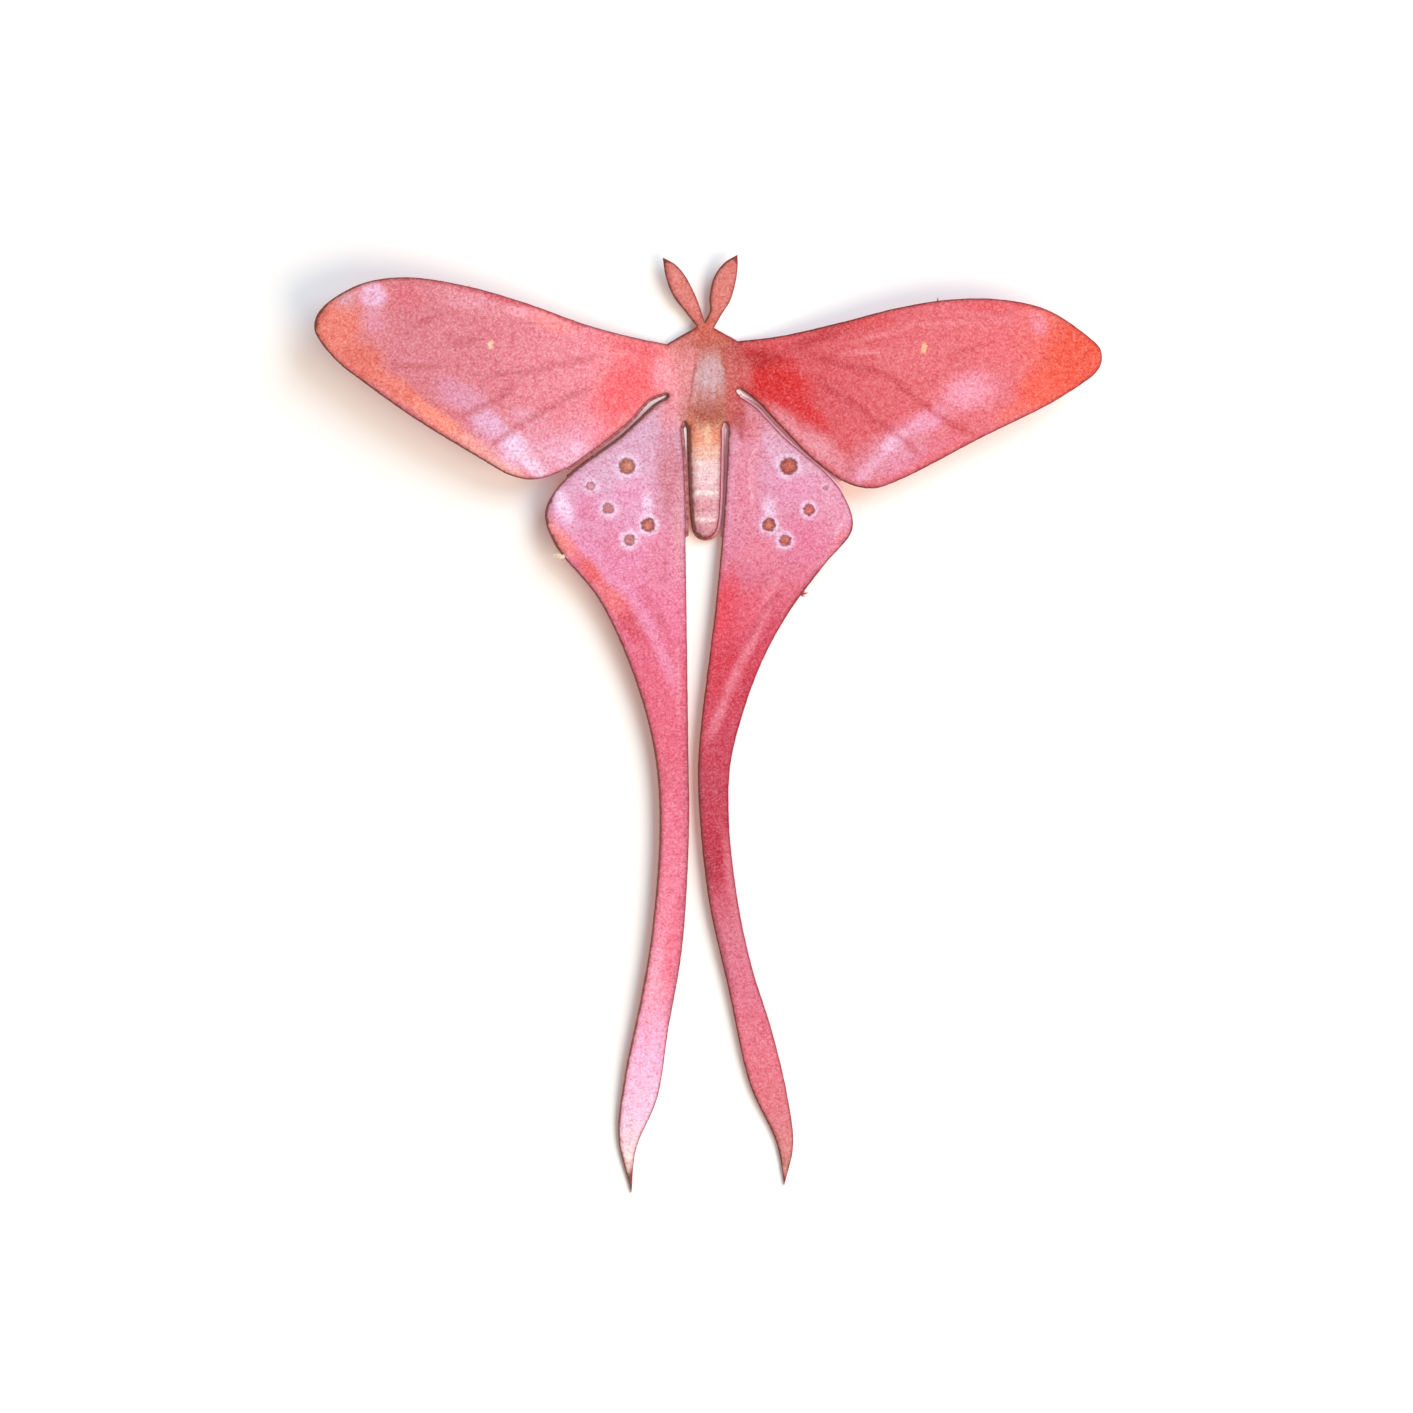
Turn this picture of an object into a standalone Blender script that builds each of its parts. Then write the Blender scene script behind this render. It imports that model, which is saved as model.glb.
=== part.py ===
"""A long-tailed silk moth, cut by laser from one sheet of shimmering card.

The card lies on its flat thorax. The wings curve up to each side, the head
and abdomen lift a little, and the two long tails arch down to their tips.
The sheet is drawn whole, seen from above, then parted with thin cuts into the
moth's named parts, bent and given its thickness.

The frame: metres, +Z up, the head towards +Y. The origin is on the flat
underside of the thorax. Knots are in millimetres, as (out, along): out is
the distance from the midline on that side, along is towards the head.
"""
import functools
import math

import bmesh
import bpy
from mathutils import Vector

MM = 0.001
RIGHT = 1
LEFT = -1

# The card
THICKNESS = 0.5
PART_LINE = 0.3
CURVE_STEP = 0.9
CELL = 2.6
WELD = 0.04

# The bend of the card
FOLD_OUT = 5.0
FOLD_ROUND = 1.6
FOREWING_SLOPE = {LEFT: 0.36, RIGHT: 0.30}
FOREWING_LIFT = {LEFT: 8.6, RIGHT: 7.4}
HINDWING_SLOPE = {LEFT: 0.18, RIGHT: 0.20}
HINDWING_LIFT = 4.0
TAIL_TIP = -130.1
FLATTEN_START = -96.0
ABDOMEN_LIFT = 1.0
ABDOMEN_RUN = 14.0
FRONT_START = 2.5
FRONT_SLOPE = 0.14
FRONT_FADE = 7.0

# The height of the hindwings' and tails' inner edges, as (along, height)
BACK_LIFT = [
    (-130.1, 0.0), (-128.6, 0.0), (-120.0, 0.25), (-105.0, 0.7), (-85.0, 1.2),
    (-60.0, 1.5), (-35.0, 1.5), (-20.0, 1.2), (-12.0, 0.7), (-6.6, 0.0),
]

# The body
NOTCH = (0.0, 9.4)
HEAD_LINE = 6.7
HEAD_REACH = 5.0
ABDOMEN_LINE = -7.1
ABDOMEN_TIP = (0.0, -25.4)
TAIL_LINE = -49.6

# The antennae, each a leaf on a short neck
ANTENNA_TIP = {LEFT: (6.7, 19.6), RIGHT: (5.3, 20.1)}
ANTENNA_BASE = {LEFT: (1.2, 8.6), RIGHT: (1.5, 8.4)}
ANTENNA_INNER = {
    LEFT: [(0.5, 11.0), (1.4, 13.4), (3.1, 16.7), (4.7, 18.5)],
    RIGHT: [(0.8, 11.0), (0.8, 13.3), (1.5, 16.4), (3.1, 18.7)],
}
ANTENNA_OUTER = {
    LEFT: [(6.2, 16.6), (5.0, 13.5), (3.0, 10.9)],
    RIGHT: [(5.2, 17.0), (4.2, 13.0), (2.5, 10.2)],
}

# The wings, read from the shoulder round to the slot between them
SHOULDER = {LEFT: (6.1, 5.8), RIGHT: (5.4, 6.3)}
FOREWING = {
    LEFT: [
        (11.9, 6.9), (19.1, 8.8), (28.7, 12.2), (38.3, 14.9), (47.9, 16.2),
        (55.1, 15.0), (61.2, 11.0), (62.2, 8.0), (59.1, 3.3), (53.2, -1.4),
        (45.8, -6.6), (35.9, -12.6), (31.1, -15.3), (27.4, -16.0),
        (22.8, -14.6), (16.7, -10.4), (11.9, -6.4), (9.0, -3.2),
    ],
    RIGHT: [
        (12.1, 7.0), (21.7, 9.1), (31.3, 11.5), (39.3, 12.7), (47.3, 12.7),
        (54.5, 11.1), (60.4, 7.4), (63.2, 4.6), (63.0, 1.8), (56.9, -2.9),
        (44.1, -9.4), (31.3, -16.0), (27.0, -17.4), (23.0, -16.6),
        (17.7, -13.0), (11.4, -6.5), (8.4, -3.3),
    ],
}
WING_SLOT = {
    LEFT: [(6.5, -2.1), (5.8, -2.2), (5.9, -2.8)],
    RIGHT: [(5.8, -1.3), (5.1, -1.6), (5.8, -2.7)],
}

# The hindwing and its tail, out to the tip and back up the inner edge
HINDWING = {
    LEFT: [
        (7.9, -4.0), (13.2, -9.0), (20.7, -14.5), (23.8, -17.6),
        (25.5, -21.4), (23.9, -26.4), (17.0, -35.0), (11.6, -46.6),
    ],
    RIGHT: [
        (8.2, -4.3), (12.6, -9.0), (19.9, -15.4), (22.2, -18.4),
        (23.7, -23.7), (19.1, -29.7), (13.8, -36.8), (9.5, -44.5),
    ],
}
TAIL = {
    LEFT: [
        (8.2, -58.6), (7.2, -70.4), (8.4, -88.0), (10.2, -98.9),
        (12.9, -112.0), (13.8, -121.3),
    ],
    RIGHT: [
        (6.3, -53.0), (4.2, -61.6), (4.0, -71.2), (5.5, -84.0),
        (7.7, -94.1), (10.8, -104.0), (13.2, -114.1), (14.2, -122.4),
    ],
}
TIP = {LEFT: (11.7, -130.1), RIGHT: (12.8, -128.9)}
INNER_EDGE = {
    LEFT: [
        (11.0, -123.2), (7.6, -114.9), (5.8, -103.8), (3.6, -90.9),
        (2.5, -72.0), (2.6, -59.2), (3.0, -28.8), (3.2, -16.0),
    ],
    RIGHT: [
        (11.5, -122.1), (7.3, -112.8), (3.8, -97.3), (0.6, -82.7),
        (-1.0, -65.6), (-0.8, -57.9), (1.8, -36.0), (3.2, -20.6),
    ],
}

# The slot beside the abdomen, and the abdomen's edge down to its round end
BODY_SLOT = {
    LEFT: [(3.8, -7.7), (3.2, -6.6), (2.6, -7.7)],
    RIGHT: [(3.9, -7.7), (3.3, -6.7), (2.8, -7.7)],
}
ABDOMEN = {
    LEFT: [(2.3, -16.0), (2.1, -20.8), (1.6, -24.2), (0.8, -25.2)],
    RIGHT: [(2.7, -14.4), (2.4, -21.9), (1.9, -24.2), (1.1, -25.1)],
}

# A place inside each part, as (x, y), and the part's colour
PARTS = {
    "head": ((0.0, 7.6), (0.56, 0.21, 0.14)),
    "thorax": ((0.0, 0.0), (0.60, 0.22, 0.18)),
    "abdomen": ((0.0, -15.0), (0.78, 0.42, 0.42)),
    "antenna_left": ((-4.0, 15.0), (0.74, 0.22, 0.18)),
    "antenna_right": ((3.0, 15.0), (0.74, 0.22, 0.18)),
    "forewing_left": ((-35.0, 0.0), (0.75, 0.22, 0.27)),
    "forewing_right": ((35.0, 0.0), (0.70, 0.13, 0.15)),
    "hindwing_left": ((-12.0, -22.0), (0.76, 0.28, 0.42)),
    "hindwing_right": ((12.0, -22.0), (0.72, 0.24, 0.34)),
    "tail_left": ((-6.0, -85.0), (0.80, 0.26, 0.36)),
    "tail_right": ((3.0, -85.0), (0.62, 0.08, 0.13)),
}


def clear_scene():
    for obj in list(bpy.data.objects):
        bpy.data.objects.remove(obj, do_unlink=True)


def smooth_run(knots):
    """Points of a smooth curve through the knots (centripetal Catmull-Rom)."""
    points = [Vector(knot) for knot in knots]
    points.insert(0, 2 * points[0] - points[1])
    points.append(2 * points[-1] - points[-2])
    run = []
    for before, start, end, after in zip(points, points[1:], points[2:], points[3:]):
        t1 = math.sqrt((start - before).length)
        t2 = t1 + math.sqrt((end - start).length)
        t3 = t2 + math.sqrt((after - end).length)
        steps = max(1, round((end - start).length / CURVE_STEP))
        for step in range(steps):
            t = t1 + (t2 - t1) * step / steps
            a1 = before.lerp(start, t / t1)
            a2 = start.lerp(end, (t - t1) / (t2 - t1))
            a3 = end.lerp(after, (t - t2) / (t3 - t2))
            b1 = a1.lerp(a2, t / t2)
            b2 = a2.lerp(a3, (t - t1) / (t3 - t1))
            run.append(b1.lerp(b2, (t - t1) / (t2 - t1)))
    run.append(points[-2])
    return run


def side_runs(side):
    """One side's edge in smooth runs, from the notch to the abdomen's tip."""
    antenna_in = [NOTCH] + ANTENNA_INNER[side] + [ANTENNA_TIP[side]]
    antenna_out = [ANTENNA_TIP[side]] + ANTENNA_OUTER[side] + [ANTENNA_BASE[side]]
    shoulder = [ANTENNA_BASE[side], SHOULDER[side]]
    slot = WING_SLOT[side]
    body_slot = BODY_SLOT[side]
    return [
        antenna_in,
        antenna_out,
        shoulder,
        [SHOULDER[side]] + FOREWING[side] + [slot[0]],
        slot,
        [slot[-1]] + HINDWING[side] + TAIL[side] + [TIP[side]],
        [TIP[side]] + INNER_EDGE[side] + [body_slot[0]],
        body_slot,
        [body_slot[-1]] + ABDOMEN[side] + [ABDOMEN_TIP],
    ]


def side_outline(side):
    """One side's edge as (x, y) points, without the abdomen's last point."""
    points = []
    for knots in side_runs(side):
        points += smooth_run(knots)[:-1]
    return [Vector((side * point.x, point.y)) for point in points]


def moth_outline():
    """The whole edge, clockwise from the notch between the antennae."""
    right = side_outline(RIGHT)
    left = side_outline(LEFT)
    return right + [Vector(ABDOMEN_TIP)] + left[:0:-1]


@functools.cache
def inner_edge_run(side):
    """The inner edge from the tail's tip up to the wing slot's end."""
    run = smooth_run([TIP[side]] + INNER_EDGE[side] + [BODY_SLOT[side][0], WING_SLOT[side][-1]])
    return [(point.y, point.x) for point in run]


@functools.cache
def back_lift_run():
    return [(point.x, point.y) for point in smooth_run(BACK_LIFT)]


def read_run(run, along):
    """A run's value at a place along the body, held level past its ends."""
    for (low, first), (high, second) in zip(run, run[1:]):
        if low <= along <= high:
            return first + (second - first) * (along - low) / (high - low)
    return run[0][1] if along < run[0][0] else run[-1][1]


def inner_edge_at(along, side):
    """How far out the hindwing's or tail's inner edge lies."""
    return read_run(inner_edge_run(side), along)


def rounded_ramp(reach):
    """A ramp of slope 1 that starts level and bends up over FOLD_ROUND."""
    if reach <= 0.0:
        return 0.0
    if reach < FOLD_ROUND:
        return reach * reach / (2.0 * FOLD_ROUND)
    return reach - FOLD_ROUND / 2.0


def curved_rise(reach, slope, lift):
    """A rise that starts with a slope past the fold and levels out below a lift."""
    return lift * (1.0 - math.exp(-slope * rounded_ramp(reach) / lift))


def smooth_step(value):
    value = min(max(value, 0.0), 1.0)
    return value * value * (3.0 - 2.0 * value)


def front_rise(out, along):
    """The lift of the head, which fades out along the forewings' roots."""
    fade = 1.0 - smooth_step((out - FOLD_OUT) / FRONT_FADE)
    return FRONT_SLOPE * rounded_ramp(along - FRONT_START) * fade


def forewing_rise(out, along, side):
    """The lift of a forewing, a little less steep towards its tip."""
    wing = curved_rise(out - FOLD_OUT, FOREWING_SLOPE[side], FOREWING_LIFT[side])
    return wing + front_rise(out, along)


def hindwing_rise(out, along, side):
    """The lift of a hindwing's outer edge and the arch of its tail."""
    wing = curved_rise(out - inner_edge_at(along, side), HINDWING_SLOPE[side], HINDWING_LIFT)
    level = smooth_step((along - TAIL_TIP) / (FLATTEN_START - TAIL_TIP))
    return wing * level + max(read_run(back_lift_run(), along), 0.0)


def card_height(part, x, y):
    """The height of the card's underside in one part."""
    side = LEFT if x < 0.0 else RIGHT
    if part.startswith(("hindwing", "tail")):
        side = LEFT if part.endswith("left") else RIGHT
        return hindwing_rise(side * x, y, side)
    if part == "abdomen":
        return ABDOMEN_LIFT * smooth_step((ABDOMEN_LINE - y) / ABDOMEN_RUN)
    if part.startswith("antenna"):
        return front_rise(0.0, y)
    return forewing_rise(side * x, y, side)


def part_lines():
    """The thin cuts between the parts, each from edge to edge of the card."""
    abdomen_reach = BODY_SLOT[LEFT][1][0]
    lines = [
        ((-HEAD_REACH, HEAD_LINE), (HEAD_REACH, HEAD_LINE)),
        ((-abdomen_reach, ABDOMEN_LINE), (abdomen_reach, ABDOMEN_LINE)),
    ]
    for side in (LEFT, RIGHT):
        tail_inner = inner_edge_at(TAIL_LINE, side) - PART_LINE
        for start, end in (
            (NOTCH, ANTENNA_BASE[side]),
            (SHOULDER[side], WING_SLOT[side][0]),
            (WING_SLOT[side][-1], BODY_SLOT[side][0]),
            ((HINDWING[side][-1][0], TAIL_LINE), (tail_inner, TAIL_LINE)),
        ):
            lines.append(((side * start[0], start[1]), (side * end[0], end[1])))
    return lines


def flat_card(outline):
    """The outline as one flat face, facing up, in a bmesh."""
    curve = bpy.data.curves.new("outline", "CURVE")
    curve.dimensions = "2D"
    curve.fill_mode = "NONE"
    spline = curve.splines.new("POLY")
    spline.points.add(len(outline) - 1)
    for point, place in zip(spline.points, outline):
        point.co = (place.x, place.y, 0.0, 1.0)
    spline.use_cyclic_u = True
    obj = bpy.data.objects.new("outline", curve)
    mesh = bpy.data.meshes.new_from_object(obj)
    card = bmesh.new()
    card.from_mesh(mesh)
    bmesh.ops.edgeloop_fill(card, edges=card.edges)
    bmesh.ops.recalc_face_normals(card, faces=card.faces)
    for face in card.faces:
        if face.normal.z < 0.0:
            face.normal_flip()
    bpy.data.objects.remove(obj)
    bpy.data.curves.remove(curve)
    bpy.data.meshes.remove(mesh)
    return card


def score(card, faces, point, normal):
    """Divide the faces along a line through the point, keeping both sides."""
    edges = {edge for face in faces for edge in face.edges}
    verts = {vert for face in faces for vert in face.verts}
    bmesh.ops.bisect_plane(
        card,
        geom=list(faces) + list(edges) + list(verts),
        dist=0.0001,
        plane_co=(point[0], point[1], 0.0),
        plane_no=(normal[0], normal[1], 0.0),
    )


def score_grid(card):
    """Divide the card into small cells, so that it can bend."""
    for axis in (0, 1):
        places = [vert.co[axis] for vert in card.verts]
        normal = (1.0, 0.0) if axis == 0 else (0.0, 1.0)
        first = math.floor(min(places) / CELL)
        last = math.ceil(max(places) / CELL)
        for index in range(first, last):
            place = (index + 0.5) * CELL
            score(card, card.faces[:], (place, place), normal)


def cut_part_line(card, start, end):
    """Take out the strip of card along one part line."""
    start = Vector(start)
    end = Vector(end)
    middle = (start + end) / 2.0
    along = (end - start).normalized()
    across = Vector((-along.y, along.x))
    half_width = PART_LINE / 2.0
    half_length = (end - start).length / 2.0 + PART_LINE

    def near(margin):
        """The faces whose middle lies within a margin of the strip."""
        offsets = ((face, face.calc_center_median().xy - middle) for face in card.faces)
        return [
            face
            for face, offset in offsets
            if abs(offset.dot(along)) < half_length + margin
            and abs(offset.dot(across)) < half_width + margin
        ]

    for direction, distance in ((across, half_width), (along, half_length)):
        for side in (LEFT, RIGHT):
            score(card, near(1.5 * CELL), middle + direction * side * distance, direction)
    bmesh.ops.delete(card, geom=near(0.0), context="FACES")


def connected_faces(first):
    """All faces of the piece that one face belongs to."""
    found = {first}
    waiting = [first]
    while waiting:
        for edge in waiting.pop().edges:
            for face in edge.link_faces:
                if face not in found:
                    found.add(face)
                    waiting.append(face)
    return found


def piece_mesh(card, name, place):
    """One part's faces as a mesh of its own, bent to the card's height."""
    target = Vector(place)
    first = min(card.faces, key=lambda face: (face.calc_center_median().xy - target).length)
    piece = bmesh.new()
    copies = {}
    for face in sorted(connected_faces(first), key=lambda face: face.index):
        for vert in face.verts:
            if vert not in copies:
                height = card_height(name, vert.co.x, vert.co.y)
                copies[vert] = piece.verts.new((vert.co.x * MM, vert.co.y * MM, height * MM))
        piece.faces.new([copies[vert] for vert in face.verts])
    mesh = bpy.data.meshes.new(name)
    piece.to_mesh(mesh)
    piece.free()
    return mesh


def printed_card(name, colour):
    material = bpy.data.materials.new(name + "_card")
    material.use_nodes = True
    surface = material.node_tree.nodes["Principled BSDF"]
    surface.inputs["Base Color"].default_value = (*colour, 1.0)
    surface.inputs["Roughness"].default_value = 0.5
    surface.inputs["Metallic"].default_value = 0.0
    return material


def add_part(card, name, place, colour, collection):
    mesh = piece_mesh(card, name, place)
    mesh.materials.append(printed_card(name, colour))
    obj = bpy.data.objects.new(name, mesh)
    collection.objects.link(obj)
    solidify = obj.modifiers.new("thickness", "SOLIDIFY")
    solidify.thickness = THICKNESS * MM
    solidify.offset = 1.0
    solidify.use_even_offset = True


def build_moth():
    clear_scene()
    collection = bpy.data.collections.new("card_silk_moth")
    bpy.context.scene.collection.children.link(collection)
    card = flat_card(moth_outline())
    score_grid(card)
    for start, end in part_lines():
        cut_part_line(card, start, end)
    bmesh.ops.remove_doubles(card, verts=card.verts, dist=WELD)
    bmesh.ops.triangulate(card, faces=card.faces)
    card.faces.index_update()
    for name, (place, colour) in PARTS.items():
        add_part(card, name, place, colour, collection)
    card.free()


build_moth()
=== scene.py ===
import bisect
import math

import bpy
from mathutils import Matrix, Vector, kdtree, noise


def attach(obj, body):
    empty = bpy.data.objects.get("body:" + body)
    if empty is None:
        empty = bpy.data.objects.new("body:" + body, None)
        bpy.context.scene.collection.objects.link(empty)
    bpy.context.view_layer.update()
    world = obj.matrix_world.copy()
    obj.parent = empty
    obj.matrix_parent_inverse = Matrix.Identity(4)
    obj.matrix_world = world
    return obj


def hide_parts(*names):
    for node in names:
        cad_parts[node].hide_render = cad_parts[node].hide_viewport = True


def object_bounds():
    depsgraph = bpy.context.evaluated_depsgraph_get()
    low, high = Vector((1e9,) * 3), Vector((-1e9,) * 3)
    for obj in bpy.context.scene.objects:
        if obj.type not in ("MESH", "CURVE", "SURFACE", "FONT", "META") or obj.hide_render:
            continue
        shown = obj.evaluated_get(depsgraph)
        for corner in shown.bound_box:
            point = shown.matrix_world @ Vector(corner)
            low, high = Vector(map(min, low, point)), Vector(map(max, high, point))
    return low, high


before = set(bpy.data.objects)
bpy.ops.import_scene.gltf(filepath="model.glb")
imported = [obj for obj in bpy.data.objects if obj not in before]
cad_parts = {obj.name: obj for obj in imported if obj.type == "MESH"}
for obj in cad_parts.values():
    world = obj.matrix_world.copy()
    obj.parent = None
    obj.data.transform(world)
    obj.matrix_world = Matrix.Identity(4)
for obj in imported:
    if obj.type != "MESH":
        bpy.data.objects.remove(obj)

MM = 0.001
RIGHT = 1
LEFT = -1
CAD_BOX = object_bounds()

# The card and its bend, in millimetres, as the solids have them
THICKNESS = 0.5
FOLD_OUT = 5.0
FOLD_ROUND = 1.6
FOREWING_SLOPE = {LEFT: 0.36, RIGHT: 0.30}
FOREWING_LIFT = {LEFT: 8.6, RIGHT: 7.4}
HINDWING_SLOPE = {LEFT: 0.18, RIGHT: 0.20}
HINDWING_LIFT = 4.0
TAIL_TIP = -130.1
FLATTEN_START = -96.0
ABDOMEN_LINE = -7.1
ABDOMEN_LIFT = 1.0
ABDOMEN_RUN = 14.0
FRONT_START = 2.5
FRONT_SLOPE = 0.14
FRONT_FADE = 7.0
BACK_LIFT = [
    (-130.1, 0.0), (-128.6, 0.0), (-120.0, 0.25), (-105.0, 0.7), (-85.0, 1.2),
    (-60.0, 1.5), (-35.0, 1.5), (-20.0, 1.2), (-12.0, 0.7), (-6.6, 0.0),
]

# The cut edge: how finely it is followed, how it wanders and how far its scorch reaches. The broader reach
# on cuts that face left is partly scorch and partly painted shade of the side turned from the lamps
CURVE_STEP = 0.35
KNOT_STEP = 0.9
CELL = 0.7
EDGE_SAMPLE = 0.08
CUT_WANDER = 0.035
CUT_WAVE = 0.9
CUT_RIPPLE = 2.3
RIPPLE_SHARE = 0.7
BROAD_SCORCH = 0.42
NARROW_SCORCH = 0.2
DEEP_SCORCH = 1.6

# How far the slots' walls lean out below, and more where they face right. The leaned walls spread their
# dark colour over the slots' floor, as painted shade for the shadow inside the slots
SLOT_TAPER = 0.29
RIGHT_TAPER = 0.22
SLOT_REACH = 22.0
SLOT_HALF_WIDTH = 1.6

# A face whose normal points up or down by more than this is on the top or the underside
FACING = 0.5
SMOOTH_ANGLE = math.radians(40.0)

# How dark the inks are printed, for the bright studio they are seen in
PRINT_TONE = 0.8

# How many times longer than wide the card's bright fibres are
FIBRE_STRETCH = 3.2

# The outline's knots, as (out from the midline, along towards the head)
NOTCH = (0, 9.4)
ABDOMEN_TIP = (0, -25.4)
ANTENNA_TIP = {LEFT: (6.7, 19.6), RIGHT: (5.3, 20.1)}
ANTENNA_BASE = {LEFT: (1.2, 8.6), RIGHT: (1.5, 8.4)}
ANTENNA_INNER = {
    LEFT: [(0.5, 11), (1.4, 13.4), (3.1, 16.7), (4.7, 18.5)],
    RIGHT: [(0.8, 11), (0.8, 13.3), (1.5, 16.4), (3.1, 18.7)],
}
ANTENNA_OUTER = {
    LEFT: [(6.2, 16.6), (5, 13.5), (3, 10.9)],
    RIGHT: [(5.2, 17), (4.2, 13), (2.5, 10.2)],
}
SHOULDER = {LEFT: (6.1, 5.8), RIGHT: (5.4, 6.3)}
FOREWING = {
    LEFT: [
        (11.9, 6.9), (19.1, 8.8), (28.7, 12.2), (38.3, 14.9), (47.9, 16.2),
        (55.1, 15), (61.2, 11), (62.2, 8), (59.1, 3.3), (53.2, -1.4),
        (45.8, -6.6), (35.9, -12.6), (31.1, -15.3), (27.4, -16),
        (22.8, -14.6), (16.7, -10.4), (11.9, -6.4), (9, -3.2),
    ],
    RIGHT: [
        (12.1, 7), (21.7, 9.1), (31.3, 11.5), (39.3, 12.7), (47.3, 12.7),
        (54.5, 11.1), (60.4, 7.4), (63.2, 4.6), (63, 1.8), (56.9, -2.9),
        (44.1, -9.4), (31.3, -16), (27, -17.4), (23, -16.6),
        (17.7, -13), (11.4, -6.5), (8.4, -3.3),
    ],
}
WING_SLOT = {
    LEFT: [(6.5, -2.1), (5.8, -2.2), (5.9, -2.8)],
    RIGHT: [(5.8, -1.3), (5.1, -1.6), (5.8, -2.7)],
}
HINDWING = {
    LEFT: [
        (7.9, -4), (13.2, -9), (20.7, -14.5), (23.8, -17.6),
        (25.5, -21.4), (23.9, -26.4), (17, -35), (11.6, -46.6),
    ],
    RIGHT: [
        (8.2, -4.3), (12.6, -9), (19.9, -15.4), (22.2, -18.4),
        (23.7, -23.7), (19.1, -29.7), (13.8, -36.8), (9.5, -44.5),
    ],
}
TAIL = {
    LEFT: [
        (8.2, -58.6), (7.2, -70.4), (8.4, -88), (10.2, -98.9),
        (12.9, -112), (13.8, -121.3),
    ],
    RIGHT: [
        (6.3, -53), (4.2, -61.6), (4, -71.2), (5.5, -84),
        (7.7, -94.1), (10.8, -104), (13.2, -114.1), (14.2, -122.4),
    ],
}
TIP = {LEFT: (11.7, -130.1), RIGHT: (12.8, -128.9)}
INNER_EDGE = {
    LEFT: [
        (11, -123.2), (7.6, -114.9), (5.8, -103.8), (3.6, -90.9),
        (2.5, -72), (2.6, -59.2), (3, -28.8), (3.2, -16),
    ],
    RIGHT: [
        (11.5, -122.1), (7.3, -112.8), (3.8, -97.3), (0.6, -82.7),
        (-1, -65.6), (-0.8, -57.9), (1.8, -36), (3.2, -20.6),
    ],
}
BODY_SLOT = {
    LEFT: [(3.8, -7.7), (3.2, -6.6), (2.6, -7.7)],
    RIGHT: [(3.9, -7.7), (3.3, -6.7), (2.8, -7.7)],
}
ABDOMEN = {
    LEFT: [(2.3, -16), (2.1, -20.8), (1.6, -24.2), (0.8, -25.2)],
    RIGHT: [(2.7, -14.4), (2.4, -21.9), (1.9, -24.2), (1.1, -25.1)],
}

# The middle of the slot between the wings, and of the gap between the tails
SLOT_MIDDLE = {
    LEFT: [(5.8, -2.5), (8.4, -3.7), (12.5, -7.7), (18.7, -12.6), (23.3, -16.2), (40, -17)],
    RIGHT: [(5.6, -2.2), (8.3, -3.8), (12, -7.8), (18.8, -14.2), (22.6, -17.3), (40, -18)],
}
TAIL_GAP = -1.75
ANTENNA_REACH = 8.0

# Tufts of torn card on the cut edge, as name: (place, (turn, length, width) of each fibre)
TAB_SIDES = 7
TAB_INSET = 0.3
TAB_ROOT = 0.15
TAB_TILT = 0.12
TAB_ROUGHNESS = 0.1
TAB_WAVE = 2.1
TAB_SEED = 1
BURNT_TABS = {
    "torn_tab_forewing_right": (
        (37.2, 12.5),
        [(88, 0.85, 0.28), (64, 0.5, 0.26), (112, 0.45, 0.24)],
    ),
    "torn_tab_hindwing_right": (
        (15.3, -34.3),
        [
            (4, 1.5, 0.5), (30, 1.2, 0.46), (-24, 1.2, 0.46),
            (58, 0.8, 0.4), (-48, 0.9, 0.4), (14, 1.7, 0.34),
        ],
    ),
    "torn_tab_hindwing_inner": ((-3.05, -32.4), [(0, 0.4, 0.3), (40, 0.3, 0.24)]),
}
PALE_TABS = {
    "torn_tab_hindwing_left": (
        (-22.6, -28.2),
        [(186, 1.9, 0.9), (158, 1.5, 0.7), (214, 1.3, 0.8), (172, 2.1, 0.5), (236, 0.9, 0.6)],
    ),
    "torn_tab_forewing_left": ((-37.6, 14.8), [(70, 0.6, 0.26), (20, 0.8, 0.2), (112, 0.5, 0.22)]),
}

# Stretches of the cut that the laser burnt more than the rest, as (middle, half length)
BURNT_CUTS = [
    (Vector((15.6, -34.2)), 4.6),
    (Vector((23.4, -24.4)), 2.2),
    (Vector((-23.6, -26.6)), 2.2),
    (Vector((-25.4, -20.8)), 2.6),
    (Vector((-61.6, 9.6)), 2),
]

# Where the abdomen lies, and where it narrows
ABDOMEN_FRONT = -6.6
ABDOMEN_BACK = -25.6
ABDOMEN_NARROWS = -20.0
ABDOMEN_REACH = 2.9
ABDOMEN_BACK_REACH = 2.4

# The stretch where the cut edge belongs to a slot beside the abdomen
BODY_SLOT_FRONT = -6.5
BODY_SLOT_BACK = -25.0
BODY_SLOT_REACH = 4.0

# Where the body's print gives way to the wings'
ANTENNA_LINE = 8.8
HEAD_BLEND = 1.2
FLANK_START = 2.4
BODY_REACH = 4.8
BODY_FADE = 2.6
BODY_PRINT_END = -9.5
BODY_PRINT_FADE = 3.0
WHOLLY_BODY = 0.999


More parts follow.
